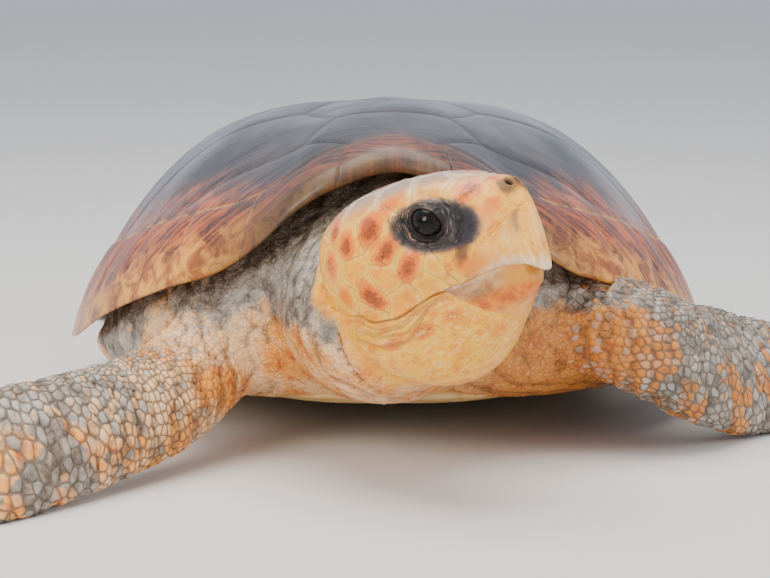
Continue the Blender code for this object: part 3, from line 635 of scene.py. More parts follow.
# Skull and upper beak: forward, half width, crown height, height of the lower border.
HEAD_STATIONS = (
    (-0.118, 0.042, 0.056, -0.006),
    (-0.108, 0.059, 0.072, -0.020),
    (-0.085, 0.079, 0.085, -0.035),
    (-0.045, 0.090, 0.092, -0.044),
    (0.000, 0.088, 0.092, -0.041),
    (0.040, 0.077, 0.087, -0.034),
    (0.075, 0.061, 0.078, -0.032),
    (0.102, 0.043, 0.066, -0.028),
    (0.122, 0.027, 0.056, -0.029),
    (0.1325, 0.0165, 0.045, -0.035),
    (0.140, 0.0085, 0.026, -0.040),
)
HEAD_BACK, HEAD_TIP = (-0.122, 0.030), (0.1425, -0.012)
HEAD_MIDDLE = 0.42
ARCH_POWERS, CHEEK_POWERS, CHEEK_TUCK = (0.92, 0.86), (0.55, 0.42), 0.10
# Lower jaw with the throat: forward, half width at the gape, lowest height.
JAW_STATIONS = (
    (-0.092, 0.060, -0.075),
    (-0.070, 0.076, -0.099),
    (-0.035, 0.082, -0.118),
    (0.000, 0.079, -0.122),
    (0.035, 0.067, -0.112),
    (0.065, 0.051, -0.091),
    (0.088, 0.038, -0.073),
    (0.107, 0.026, -0.060),
    (0.121, 0.014, -0.052),
)
JAW_BACK, JAW_TIP = (-0.102, -0.045), (0.1245, -0.044)
JAW_LIP, JAW_WIDEST = 0.010, 0.004
JAW_TOP_POWER, JAW_LOW_POWER, JAW_SIDE_POWER = 0.5, 1.0, 0.98
EYE_RADIUS = 0.0190
EYE_PLACE = (0.054, 0.0545, 0.0375)
# Neck: centre x, y, z, half width, half height.
NECK_STATIONS = (
    (0.000, -0.300, 0.200, 0.120, 0.090),
    (-0.004, -0.380, 0.190, 0.132, 0.104),
    (-0.010, -0.450, 0.178, 0.124, 0.112),
    (-0.014, -0.515, 0.176, 0.106, 0.100),
    (-0.012, -0.570, 0.180, 0.093, 0.088),
    (-0.002, -0.612, 0.190, 0.080, 0.074),
)
# Front flippers: x, y, z, chord, thickness, tilt of the chord in degrees.
RIGHT_FLIPPER = (
    (-0.120, -0.330, 0.150, 0.110, 0.095, 60),
    (-0.195, -0.415, 0.112, 0.112, 0.088, 62),
    (-0.245, -0.495, 0.080, 0.116, 0.078, 64),
    (-0.298, -0.572, 0.069, 0.122, 0.066, 66),
    (-0.348, -0.645, 0.065, 0.130, 0.054, 67),
    (-0.402, -0.708, 0.062, 0.138, 0.043, 64),
    (-0.466, -0.756, 0.054, 0.134, 0.033, 56),
    (-0.532, -0.788, 0.041, 0.112, 0.025, 46),
    (-0.588, -0.805, 0.028, 0.076, 0.018, 38),
    (-0.624, -0.813, 0.018, 0.036, 0.012, 30),
)
LEFT_FLIPPER = (
    (0.120, -0.330, 0.165, 0.108, 0.095, 60),
    (0.205, -0.400, 0.150, 0.115, 0.092, 60),
    (0.268, -0.412, 0.128, 0.124, 0.086, 62),
    (0.322, -0.385, 0.098, 0.140, 0.076, 66),
    (0.366, -0.335, 0.078, 0.150, 0.060, 66),
    (0.420, -0.272, 0.063, 0.150, 0.044, 58),
    (0.482, -0.205, 0.052, 0.138, 0.033, 48),
    (0.540, -0.148, 0.038, 0.112, 0.025, 42),
    (0.588, -0.105, 0.027, 0.076, 0.018, 36),
    (0.616, -0.082, 0.017, 0.036, 0.012, 30),
)
HIND_FLIPPER = (
    (0.105, 0.235, 0.060, 0.105, 0.080, 4),
    (0.175, 0.305, 0.052, 0.108, 0.074, 4),
    (0.228, 0.362, 0.040, 0.110, 0.056, 4),
    (0.276, 0.418, 0.028, 0.126, 0.038, 3),
    (0.318, 0.474, 0.015, 0.142, 0.027, 3),
    (0.350, 0.524, 0.010, 0.134, 0.020, 2),
    (0.372, 0.562, 0.008, 0.098, 0.015, 2),
    (0.384, 0.584, 0.006, 0.050, 0.010, 2),
)
BLADE_FROM, BLADE_FULL = 1.3, 3.8
BLADE_THIN, BLADE_THICK_SHARE = 0.62, 0.25
# How far the rounded ends reach past the last section: a limb's, and the tail's as a step.
LIMB_TIP, TAIL_TIP = 0.010, np.array((0.0, 0.012, -0.002))
# Tail: y, z, radius.
TAIL_STATIONS = (
    (0.300, 0.066, 0.040),
    (0.360, 0.058, 0.036),
    (0.420, 0.048, 0.027),
    (0.470, 0.038, 0.018),
    (0.505, 0.030, 0.010),
)
TAIL_FLATNESS = 0.8

forward = heading(HEAD_YAW, HEAD_PITCH)
leftward = np.array((math.cos(HEAD_YAW), math.sin(HEAD_YAW), 0.0))
HEAD_AXES = np.array((forward, leftward, np.cross(forward, leftward)))


def from_head(points):
    """Places in the head's frame (forward, left, up) as final places."""
    return HEAD_ORIGIN + np.asarray(points) @ HEAD_AXES


def to_head(points):
    """The way back: final places in the head's frame."""
    return (np.asarray(points) - HEAD_ORIGIN) @ HEAD_AXES.T


def even_turn(count):
    """A whole turn in even steps, in radians."""
    return np.linspace(0, math.tau, count, endpoint=False)


def lerp_columns(curve, ahead):
    """Each further column of a curve at places along its first."""
    return [np.interp(ahead, curve[:, 0], curve[:, k]) for k in range(1, curve.shape[1])]


def shrink(ahead, stations, back, tip):
    """1 between the first and last stations, falling to 0 at the back and the tip as on an ellipse."""
    first, last = stations[0][0], stations[-1][0]
    beyond = np.maximum((ahead - last) / (tip[0] - last), 0)
    beyond = beyond + np.maximum((first - ahead) / (first - back[0]), 0)
    return np.sqrt(np.clip(1 - beyond**2, 0, 1))


HEAD_CURVE, JAW_CURVE = through(HEAD_STATIONS, 600), through(JAW_STATIONS, 500)


def gape(ahead):
    """Height of the mouth line and of the cheek's lower border."""
    table = np.array(HEAD_STATIONS)
    return np.interp(ahead, table[:, 0], table[:, 3])


def head_sizes(ahead):
    """Half width, crown and border at places along the head, closing on a rounded tip and back."""
    half, crown, border = lerp_columns(HEAD_CURVE, ahead)
    close = shrink(ahead, HEAD_STATIONS, HEAD_BACK, HEAD_TIP)
    focus = np.where(ahead > 0, HEAD_TIP[1], HEAD_BACK[1])
    return half * close, focus + (crown - focus) * close, focus + (border - focus) * close


def powered(value, power):
    """A power that keeps the value's sign."""
    return np.sign(value) * np.abs(value) ** power


def head_surface(ahead, turn):
    """Superellipse sections: arched over the widest level, with near-upright cheeks below it."""
    half, crown, border = head_sizes(ahead)
    middle = border + (crown - border) * HEAD_MIDDLE
    up, side = np.sin(turn), np.cos(turn)
    across, upright = (np.where(up > 0, arch, cheek) for arch, cheek in zip(ARCH_POWERS, CHEEK_POWERS))
    width = powered(side, across) * half * np.where(up > 0, 1.0, 1.0 + CHEEK_TUCK * up)
    height = middle + powered(up, upright) * np.where(up > 0, crown - middle, middle - border)
    return np.stack(np.broadcast_arrays(ahead, width, height), axis=-1)


def jaw_surface(ahead, turn):
    """Sections flat where they meet the upper jaw and full below."""
    half, low = lerp_columns(JAW_CURVE, ahead)
    close = shrink(ahead, JAW_STATIONS, JAW_BACK, JAW_TIP)
    focus = np.where(ahead > 0, JAW_TIP[1], JAW_BACK[1])
    widest = focus + (gape(ahead) - JAW_WIDEST - focus) * close
    up, side = np.sin(turn), np.cos(turn)
    tall = np.where(up > 0, (JAW_LIP + JAW_WIDEST) * close, widest - (focus + (low - focus) * close))
    height = widest + powered(up, np.where(up > 0, JAW_TOP_POWER, JAW_LOW_POWER)) * tall
    width = powered(side, JAW_SIDE_POWER) * half * close
    return np.stack(np.broadcast_arrays(ahead, width, height), axis=-1)


def rounded_run(stations, back, tip, steps):
    """Places from back to tip, crowded towards both ends so that the ends come out round."""
    first, last = stations[0][0], stations[-1][0]
    ends = np.sin(np.linspace(0.08, 1, 7) * math.pi / 2)
    start, end = back[0] + (first - back[0]) * ends[:-1], last + (tip[0] - last) * (1 - ends[-2::-1])
    return np.concatenate([start, np.linspace(first, last, steps), end])


def limb_axes(rows, leading):
    """Centres of a limb's sections, the way to its leading edge, and the way its upper face looks."""
    centres, tilt = rows[:, :3], np.radians(rows[:, 5])
    run = unit(np.gradient(centres, axis=0))
    level = unit(np.stack([-run[:, 1], run[:, 0], np.zeros(len(run))], -1) * leading)
    across = level * np.cos(tilt)[:, None] - np.array([0.0, 0.0, 1.0]) * np.sin(tilt)[:, None]
    across = unit(across - run * (across * run).sum(1)[:, None])
    return centres, across, np.cross(run, across) * leading


def rounded_off(rings, step_out):
    """Rings closed by a quarter ellipse past the last, set in their place and kept over the floor."""
    q = np.array([0.4, 0.7, 0.9])[:, None, None]
    tip = rings[-1].mean(0)
    rings = np.concatenate([rings, tip + (rings[-1] - tip) * np.sqrt(1 - q**2) + step_out * q]) + MODEL_SHIFT
    rings[..., 2] = np.maximum(rings[..., 2], 0.0)
    return rings


def limb_rings(stations, steps, leading, points=72):
    """Oval sections that thin to a blade with a thick leading edge; turn 0 is the leading edge."""
    rows = through(stations, steps)
    centres, across, face = limb_axes(rows, leading)
    chord, thick = rows[:, 3], rows[:, 4]
    flat = np.clip((chord / thick - BLADE_FROM) / (BLADE_FULL - BLADE_FROM), 0, 1)[:, None]
    turn = even_turn(points)
    along = np.cos(turn)[None, :]
    behind = np.clip(BLADE_THICK_SHARE - along, 0, None) / (1 + BLADE_THICK_SHARE)
    off = np.sin(turn)[None, :] * (1 - flat * BLADE_THIN * behind) * thick[:, None] / 2
    along = along * chord[:, None] / 2
    rings = centres[:, None] + across[:, None] * along[..., None] + face[:, None] * off[..., None]
    step_out = rings[-1].mean(0) - rings[-2].mean(0)
    return rounded_off(rings, step_out * (LIMB_TIP / norm(step_out)))


def tube(rings):
    """A closed form over rings, with its poles at the middle of the end rings."""
    return closed_grid(rings, rings[0].mean(0), rings[-1].mean(0))


def trunk_form():
    """The carapace's lining, then rings at shares of the rim's outline, closing in down to the floor."""
    rim = round_outline(SHELL_RIM, 160)
    rings = []
    for reach in np.linspace(0.1, 0.82, 16):
        lining = dome(rim, reach)
        lining[:, 2] -= rim[:, 3] * 1.8 + 0.0015
        rings.append(lining)
    waist = TRUNK_WAIST[0] + TRUNK_WAIST[1] * rim[:, 2]
    for share, rise in through(TRUNK_LEVELS, 30):
        x = rim[:, 0] * rim[:, 4] * share
        y = SHELL_CENTRE_Y + (rim[:, 1] - SHELL_CENTRE_Y) * rim[:, 4] * share
        rings.append(np.stack([x, y, TRUNK_FLOOR_Z + (waist - TRUNK_FLOOR_Z) * rise], -1))
    return tube(pitched(np.array(rings)))


def neck_form():
    """Ellipses square to a smooth line from the trunk to the head."""
    rows = through(NECK_STATIONS, 60)
    run = unit(np.gradient(rows[:, :3], axis=0))
    side = unit(np.cross(run, [0.0, 0.0, 1.0]))
    lift = np.cross(side, run)
    turn = even_turn(64)
    wide = np.cos(turn)[None, :, None] * rows[:, 3, None, None] * side[:, None]
    tall = np.sin(turn)[None, :, None] * rows[:, 4, None, None] * lift[:, None]
    return tube(rows[:, None, :3] + wide + tall + MODEL_SHIFT)


def tail_form():
    """Upright flattened circles on a smooth line, closed by a rounded tip."""
    y, z, radius = through(TAIL_STATIONS, 40).T[:, :, None]
    turn = even_turn(32)
    x, z = np.cos(turn) * radius, z + np.sin(turn) * radius * TAIL_FLATNESS
    rings = np.stack([x, y + 0 * turn, z], -1)
    return tube(rounded_off(rings, TAIL_TIP))


def joined(forms):
    """Several forms, each points and triangles, as one."""
    starts = np.cumsum([0] + [len(points) for points, _ in forms])
    points = np.concatenate([points for points, _ in forms])
    return points, np.concatenate([triangles + start for (_, triangles), start in zip(forms, starts)])


def arrays_of(piece):
    """Points and triangles of a piece with its modifiers applied."""
    mesh = piece.evaluated_get(bpy.context.evaluated_depsgraph_get()).to_mesh()
    points, triangles = np.empty(len(mesh.vertices) * 3), np.empty(len(mesh.loop_triangles) * 3, np.int64)
    mesh.vertices.foreach_get("co", points)
    mesh.loop_triangles.foreach_get("vertices", triangles)
    return points.reshape(-1, 3), triangles.reshape(-1, 3)


def edges_of(triangles):
    """Every edge once, as sorted pairs of points, and each triangle's three edges."""
    pairs = np.sort(np.concatenate([triangles[:, ends] for ends in ([0, 1], [1, 2], [2, 0])]), axis=1)
    key = pairs[:, 0] * (triangles.max() + 1) + pairs[:, 1]
    _, first, back = np.unique(key, return_index=True, return_inverse=True)
    return pairs[first], back.ravel().reshape(3, -1).T


def averaged(points, edges):
    """The mean of each point's neighbours."""
    total = np.zeros_like(points)
    for k in range(points.shape[1]):
        total[:, k] = np.bincount(edges[:, 0], points[edges[:, 1], k], len(points))
        total[:, k] += np.bincount(edges[:, 1], points[edges[:, 0], k], len(points))
    count = np.bincount(edges.ravel(), minlength=len(points))
    return total / np.maximum(count, 1)[:, None]


def relaxed(values, edges, weight, rounds):
    """Values drawn to the mean of their neighbours, round after round, by the weight at each point."""
    for _ in range(rounds):
        values = values + (averaged(values, edges) - values) * weight
    return values


def normals_of(points, triangles):
    """Unit directions out of the surface at each point, weighted by area."""
    a, b, c = (points[triangles[:, k]] for k in range(3))
    faces = np.cross(b - a, c - a)
    normals = np.zeros_like(points)
    for k in range(3):
        for axis in range(3):
            normals[:, axis] += np.bincount(triangles[:, k], faces[:, axis], len(points))
    return unit(normals)


def refined(points, triangles, inside):
    """Splits every edge with both ends inside: those triangles become four, and the ones beside them two."""
    edges, sides = edges_of(triangles)
    split = inside[edges].all(1)
    number = np.full(len(edges), -1)
    number[split] = len(points) + np.arange(split.sum())
    points = np.concatenate([points, points[edges[split]].mean(1)])
    middle = number[sides]
    cut = (middle >= 0).sum(1)
    (a, b, c), (ab, bc, ca) = triangles[cut == 3].T, middle[cut == 3].T
    quarters = ((a, ab, ca), (ab, b, bc), (ca, bc, c), (ab, bc, ca))
    made = [triangles[cut == 0]] + [np.stack(corners, -1) for corners in quarters]
    for k in range(3):
        one = (cut == 1) & (middle[:, k] >= 0)
        a, b, c = (triangles[one, (k + step) % 3] for step in range(3))
        m = middle[one, k]
        made += [np.stack([a, m, c], -1), np.stack([m, b, c], -1)]
    return points, np.concatenate(made)


def ripple(points, wavelength, seed, waves=9):
    """A smooth random field, about -1 to 1: sines of about one wavelength in nine directions, added up."""
    chance = np.random.default_rng(seed)
    ways = chance.normal(size=(waves, 3))
    lengths = norm(ways, axis=1)[:, None]
    ways *= math.tau / wavelength * chance.uniform(0.7, 1.4, (waves, 1)) / lengths
    return np.sin(points @ ways.T + chance.uniform(0, math.tau, waves)).sum(1) / math.sqrt(waves)

SKIN_VOXEL = 0.0064
HEAD_BOX = (0.155, 0.115, 0.135)
ROOF_REACH, ROOF_Z = 0.78, 0.13
UNDER_REACH, UNDER_Z = 0.60, 0.030
FILLET_ROUNDS = 26
# Where the horn of each beak begins, on the head's side: forward and up at two points.
BEAK_LINE = ((0.058, -0.040), (0.140, 0.032))
CHIN_LINE = ((0.050, -0.030), (0.104, -0.090))
MOUTH_CREASE = 0.0011
# Sharpness of the crossing where the head's and the jaw's forms meet.
CROSSING = 50.0
# From one fold of skin to the next.
NECK_FOLD, ARM_FOLD, FLANK_FOLD, LID_WRINKLE = 0.024, 0.025, 0.038, 0.0029
NOSTRIL = np.array((0.1245, 0.0062, 0.0533))
NOSTRIL_RADIUS, NOSTRIL_DEPTH = 0.0050, 0.0065
# Folds under the cheek: how far below the mouth line, and half width.
THROAT_FOLDS = ((0.0062, 0.0013), (0.0110, 0.0014), (0.0165, 0.0017), (0.0250, 0.0022))
# Brow, hollow before the eye, and cheek: height, middle and half width ahead, middle and half width up, and
# where it starts and is full out to the side.
FACE_FORMS = (
    (0.0030, 0.050, 0.036, 0.071, 0.009, 0.025, 0.045),
    (-0.0030, 0.099, 0.012, 0.022, 0.026, 0.018, 0.032),
    (0.0022, -0.025, 0.045, -0.004, 0.035, 0.05, 0.07),
)
LID_REACH, LID_THICK = 0.029, 0.0014
# Dark skin round each eye: its middle forward and up, its halves and its slant.
LID_MIDDLE, LID_HALVES, LID_SLANT = (0.064, 0.031), (0.042, 0.0255), math.radians(-20.0)
LID_ROWS = 24
# The lids' lip, from the opening inwards: share of the opening, and height over the eyeball.
LIP_RINGS = ((0.985, 0.0004), (0.955, -0.0008), (0.80, -0.003), (0.45, -0.004))
GAZE = (0.33, 0.94, -0.11)
OPENING_HALVES = (0.0176, 0.0138)
OPENING_SLANT, OPENING_POWER = math.radians(-44.0), 1.85
# How far the plates' borders wander, and the plates' middles: forward, out to the side, up.
PLATE_SWAY = 0.011
PLATES = (
    (0.112, 0.013, 0.058), (0.094, 0.028, 0.060), (0.070, 0.000, 0.079),
    (0.052, 0.036, 0.074), (0.026, 0.000, 0.090), (0.018, 0.052, 0.076),
    (-0.020, 0.024, 0.091), (-0.026, 0.064, 0.072), (-0.064, 0.022, 0.088),
    (-0.066, 0.060, 0.066), (-0.100, 0.018, 0.074), (-0.098, 0.046, 0.054),
    (-0.003, 0.082, 0.048), (-0.033, 0.087, 0.037), (0.013, 0.084, 0.022),
    (0.035, 0.080, 0.001), (-0.020, 0.087, -0.017), (-0.065, 0.084, 0.019),
    (-0.084, 0.072, 0.042), (-0.052, 0.086, -0.012), (0.007, 0.086, -0.006),
    (-0.088, 0.068, -0.008), (0.046, 0.076, -0.024), (0.014, 0.084, -0.030),
    (-0.033, 0.088, 0.008), (-0.036, 0.086, -0.036), (-0.070, 0.078, -0.030),
    (0.106, 0.028, 0.050), (0.074, 0.064, -0.004), (0.060, 0.074, -0.012),
)
# Blotches on the side plates: forward, up, half length, half width, slant in degrees, depth.
BLOTCHES = (
    (-0.002, 0.045, 0.0170, 0.0150, 80, 1.0),
    (-0.035, 0.037, 0.0150, 0.0110, 95, 0.9),
    (0.014, 0.019, 0.0185, 0.0100, 42, 0.95),
    (0.033, -0.001, 0.0195, 0.0090, 48, 0.9),
    (-0.019, -0.017, 0.0170, 0.0130, 100, 1.0),
    (-0.064, 0.026, 0.0140, 0.0090, 90, 0.85),
    (-0.057, 0.058, 0.0130, 0.0090, 90, 0.8),
    (-0.053, -0.010, 0.0110, 0.0090, 90, 0.45),
    (0.095, 0.058, 0.0130, 0.0120, 60, 0.85),
    (0.114, 0.034, 0.0130, 0.0080, 60, 0.55),
    (0.018, 0.064, 0.0150, 0.0080, 10, 0.6),
    (-0.004, 0.002, 0.0100, 0.0080, 30, 0.2),
    (0.080, -0.012, 0.0150, 0.0070, 20, 0.3),
    (0.052, -0.058, 0.0120, 0.0070, 14, 0.6),
    (0.020, -0.066, 0.0150, 0.0080, 12, 0.75),
    (-0.016, -0.070, 0.0140, 0.0085, 6, 0.6),
    (-0.048, -0.068, 0.0110, 0.0075, 0, 0.4),
)
# Blotches on the crown: forward, out to the side, half length, half width.
CROWN_BLOTCHES = (
    (0.026, 0.000, 0.020, 0.014),
    (0.070, 0.000, 0.009, 0.008),
    (0.110, 0.012, 0.007, 0.005),
    (-0.020, 0.024, 0.014, 0.012),
    (-0.064, 0.022, 0.014, 0.012),
    (-0.098, 0.020, 0.009, 0.010),
)


def section_level(place, sizes, middle, powers_above, powers_below, tuck=0.0):
    """How far out a point is on a superellipse section: 1 on the surface, less inside and more outside."""
    half, tall_above, tall_below = sizes
    rise = place[..., 2] - middle
    above = rise > 0
    tall = np.maximum(np.where(above, tall_above, tall_below), 1e-4)
    power = np.where(above, powers_above[1], powers_below[1])
    up = np.minimum((np.abs(rise) / tall) ** (1 / power), 4.0)
    half = np.maximum(half * np.where(above, 1.0, 1.0 - tuck * np.minimum(up, 1.0)), 1e-4)
    side = (np.abs(place[..., 1]) / half) ** (1 / np.where(above, powers_above[0], powers_below[0]))
    return np.sqrt(up**2 + np.minimum(side, 4.0) ** 2)


def head_level(place):
    """Level of a place in the head's own sections, arched above and near upright below."""
    half, crown, border = head_sizes(place[..., 0])
    middle = border + (crown - border) * HEAD_MIDDLE
    sizes = (half, crown - middle, middle - border)
    return section_level(place, sizes, middle, ARCH_POWERS, CHEEK_POWERS, CHEEK_TUCK)


def jaw_level(place):
    """Level of a place in the jaw's own sections."""
    half, low = lerp_columns(JAW_CURVE, place[..., 0])
    close = shrink(place[..., 0], JAW_STATIONS, JAW_BACK, JAW_TIP)
    middle = gape(place[..., 0]) - JAW_WIDEST
    sizes = (half * close, JAW_LIP + JAW_WIDEST, middle - low)
    above, below = (JAW_SIDE_POWER, JAW_TOP_POWER), (JAW_SIDE_POWER, JAW_LOW_POWER)
    return section_level(place, sizes, middle, above, below)


def line_height(line, ahead):
    """Height of a beak's line at a place along the head."""
    (a0, u0), (a1, u1) = line
    return u0 + (u1 - u0) * (ahead - a0) / (a1 - a0)


def over_line(line, place):
    """Distance over a beak's line, square to it, on the side of the head."""
    (a0, u0), (a1, u1) = line
    return (place[:, 2] - line_height(line, place[:, 0])) * math.cos(math.atan2(u1 - u0, a1 - a0))


def halved(low, high, rounds, short):
    """The crossing between `low` and `high`, by halving: `short` says which places lie short of it."""
    for _ in range(rounds):
        middle = (low + high) / 2
        before = short(middle)
        low, high = np.where(before, middle, low), np.where(before, high, middle)
    return low


def mirrored(stations):
    """The same limb on the other side."""
    return [(-row[0], *row[1:]) for row in stations]


LIMBS = {
    "front_right": (RIGHT_FLIPPER, 1),
    "front_left": (LEFT_FLIPPER, -1),
    "hind_left": (HIND_FLIPPER, 1),
    "hind_right": (mirrored(HIND_FLIPPER), -1),
}


def flesh_forms():
    """Every form of flesh as a fine closed tube; they overlap where they join."""
    turn = even_turn(220)[None, :]
    ahead = rounded_run(HEAD_STATIONS, HEAD_BACK, HEAD_TIP, 150)[:, None]
    head = tube(from_head(head_surface(ahead, turn)))
    ahead = rounded_run(JAW_STATIONS, JAW_BACK, JAW_TIP, 120)[:, None]
    jaw = tube(from_head(jaw_surface(ahead, turn)))
    limbs = [tube(limb_rings(stations, 150, leading)) for stations, leading in LIMBS.values()]
    return [head, jaw, trunk_form(), neck_form(), tail_form(), *limbs]


def without(points, triangles, hidden, middle):
    """Drops the triangles whose corners are all hidden, and closes the hole with a fan to its middle."""
    triangles = triangles[~hidden[triangles].all(1)]
    a, b = rim_of_hole(triangles)
    fan = np.stack([b, a, np.full(len(a), len(points))], -1)
    return np.concatenate([points, [middle]]), np.concatenate([triangles, fan])


def rim_of_hole(triangles):
    """The directed edges that only one triangle has."""
    a, b = triangles.ravel(), np.roll(triangles, -1, 1).ravel()
    size = triangles.max() + 1
    alone = ~np.isin(a * size + b, b * size + a)
    return a[alone], b[alone]


def packed(points, triangles):
    """Drops points that no triangle uses."""
    used = np.zeros(len(points), bool)
    used[triangles.ravel()] = True
    return points[used], (np.cumsum(used) - 1)[triangles]


def round_middle(place):
    """Angle round the shell's middle from straight ahead, and distance from it, seen from above."""
    x, y = place[:, 0], place[:, 1] - SHELL_CENTRE_Y
    return np.arctan2(x, -y), np.hypot(x, y)


def rim_reach(place):
    """How far out to the carapace's rim each point of the level shell lies, seen from above."""
    rim = round_outline(SHELL_RIM, 360)
    (angle, span), (own_angle, own_span) = round_middle(rim), round_middle(place)
    return own_span / np.interp(own_angle, angle, span, period=math.tau)


def one_skin():
    """The forms made one by voxels, opened where shell hides them, and filleted where limbs meet the body."""
    points, triangles = joined(flesh_forms())
    forms = piece_of("flesh_forms", points, triangles)
    remesh = forms.modifiers.new("one_skin", "REMESH")
    remesh.mode, remesh.voxel_size = "VOXEL", SKIN_VOXEL
    points, triangles = arrays_of(forms)
    forms.modifiers.clear()
    place = levelled(points)
    reach = rim_reach(place)
    roof = (reach < ROOF_REACH) & (place[:, 2] > ROOF_Z)
    points, triangles = without(points, triangles, roof, points[roof].mean(0) - (0, 0, 0.05))
    under = np.append((reach < UNDER_REACH) & (place[:, 2] < UNDER_Z), False)
    points, triangles = without(points, triangles, under, points[under].mean(0) + (0, 0, 0.004))
    points, triangles = packed(points, triangles)
    place = to_head(points)
    bpy.data.objects.remove(forms)
    off_head = ease(np.minimum(head_level(place), jaw_level(place)), 1.02, 1.2)
    edges, _ = edges_of(triangles)
    hollow = ((averaged(points, edges) - points) * normals_of(points, triangles)).sum(1, keepdims=True)
    weight = np.clip(hollow / 0.0006, 0, 1)
    for _ in range(7):
        weight = np.maximum(weight, averaged(weight, edges) * 0.97)
    return relaxed(points, edges, weight * (off_head[:, None] * 0.7), FILLET_ROUNDS), triangles


def face_level(place):
    """The lesser of the head's and the jaw's levels, rounded where the two cross."""
    first, second = head_level(place) * CROSSING, jaw_level(place) * CROSSING
    return -np.logaddexp(-first, -second) / CROSSING


def face_slope(place, step=0.0003):
    """Gradient of the head's level, by central differences."""
    ends = [face_level(place + step * axis) - face_level(place - step * axis) for axis in np.eye(3)]
    return np.stack(ends, -1) / (2 * step)


def off_face(place):
    """Distance from the head's surface, to first order: the level's excess over its slope."""
    return (face_level(place) - 1) / np.maximum(norm(face_slope(place), axis=1), 4.0)


def onto_head(points):
    """Points near the head slid onto its own surface by Newton's steps along the slope of its level."""
    place = to_head(points)
    near = ease(off_face(place), 0.008, 0.0035) * ease(place[:, 0], -0.118, -0.098)
    some = (near > 0) & (place[:, 0] < HEAD_STATIONS[-1][0])
    start = place[some].copy()
    moved = start.copy()
    for _ in range(6):
        slope = face_slope(moved)
        move = slope * ((face_level(moved) - 1) / np.maximum((slope**2).sum(-1), 1.0))[:, None]
        move *= np.minimum(1.0, 0.001 / np.maximum(norm(move, axis=1), 1e-9))[:, None]
        moved = moved - move
    place[some] = start + (moved - start) * near[some, None]
    return from_head(place)


def eye_frame(side):
    """Eye's middle in the head's frame, and its axes: along the head, up, and the way it looks."""
    gaze = unit(np.array((GAZE[0], GAZE[1] * side, GAZE[2])))
    along = unit(np.array((1.0, 0.0, 0.0)) - gaze * gaze[0])
    return np.array(EYE_PLACE) * (1, side, 1), np.array((along, np.cross(along, gaze) * side, gaze))


def opening(angle):
    """Distance from the eye's middle to the lids' edge: a slanted superellipse, pointed at its corners."""
    c, s = np.cos(angle - OPENING_SLANT), np.sin(angle - OPENING_SLANT)
    p = OPENING_POWER
    return (np.abs(c / OPENING_HALVES[0]) ** p + np.abs(s / OPENING_HALVES[1]) ** p) ** (-1 / p)


def with_lids(points, triangles, side):
    """Opens the skin round an eye and closes it with rings of lid that end in a lip on the eyeball."""
    centre, axes = eye_frame(side)

    def inside_head(z):
        return head_level(centre + np.stack([x, y, z], -1) @ axes) < 1

    local = (to_head(points) - centre) @ axes.T
    within = (np.hypot(local[:, 0], local[:, 1]) < LID_REACH) & (local[:, 2] > -0.02)
    triangles = triangles[~within[triangles].all(1)]
    following = dict(zip(*(ends.tolist() for ends in rim_of_hole(triangles))))
    loop = [next(iter(following))]
    while following[loop[-1]] != loop[0]:
        loop.append(following[loop[-1]])
    angle = np.unwrap(np.arctan2(local[loop, 1], local[loop, 0]))
    whole = math.tau * np.sign(angle[-1] - angle[0])
    strides = np.diff(np.append(angle, angle[0] + whole))
    for _ in range(10):
        strides = (np.roll(strides, 1) + strides + np.roll(strides, -1)) / 3
    even = np.concatenate([[0], np.cumsum(strides)[:-1]])
    angle = even + (angle - even).mean()
    share = np.linspace(1, 0, LID_ROWS + 1)[:, None]
    radius = opening(angle) + (LID_REACH - opening(angle)) * share
    x, y = radius * np.cos(angle), radius * np.sin(angle)
    ball = EYE_RADIUS + LID_THICK
    over_ball = np.sqrt(ball**2 - np.minimum(radius, EYE_RADIUS * 0.93) ** 2)
    blend = ease(share, 0.03, 0.66)
    on_head = halved(np.full(x.shape, -0.03), np.full(x.shape, 0.035), 24, inside_head)
    z = over_ball * (1 - blend) + on_head * blend
    rings = [np.stack([x, y, z], -1)]
    for shrunk, depth in LIP_RINGS:
        r = opening(angle) * shrunk
        z = np.sqrt((EYE_RADIUS + depth) ** 2 - r**2)
        rings.append(np.stack([r * np.cos(angle), r * np.sin(angle), z], -1)[None])
    rings = from_head(centre + np.concatenate(rings) @ axes)
    points = points.copy()
    points[loop] = rings[0]
    start, across = len(points), len(loop)
    here = np.vstack([loop, start + np.arange((len(rings) - 1) * across).reshape(-1, across)])
    pole = start + (len(rings) - 1) * across
    middle = from_head(centre + axes[2] * (EYE_RADIUS - 0.005))
    points = np.concatenate([points, rings[1:].reshape(-1, 3), [middle]])
    beside = np.roll(here, -1, 1)
    corners = (beside[:-1], here[:-1], here[1:]), (beside[:-1], here[1:], beside[1:])
    made = [np.stack(three, -1) for three in corners]
    made.append(np.stack([beside[-1], here[-1], np.full(across, pole)], -1))
    triangles = np.concatenate([triangles] + [t.reshape(-1, 3) for t in made])
    off = np.hypot(local[:, 0], local[:, 1])
    weight = np.zeros((len(points), 1))
    weight[: len(off), 0] = 0.5 * ridge(off - LID_REACH - 0.002, 0.003) * (local[:, 2] > -0.02)
    weight[loop] = 0.0
    weight[: len(off)][within] = 0.0
    return packed(relaxed(points, edges_of(triangles)[0], weight, 12), triangles)


def side_place(points):
    """Places in the head's frame with both sides folded onto one."""
    place = to_head(points)
    place[:, 1] = np.abs(place[:, 1])
    return place


def two_nearest(place):
    """Distance to the nearest plate's middle, and to the next nearest."""
    near = np.full(len(place), 1.0)
    after = near.copy()
    for middle in PLATES:
        distance = norm(place - middle, axis=1)
        after = np.minimum(after, np.maximum(near, distance))
        near = np.minimum(near, distance)
    return near, after


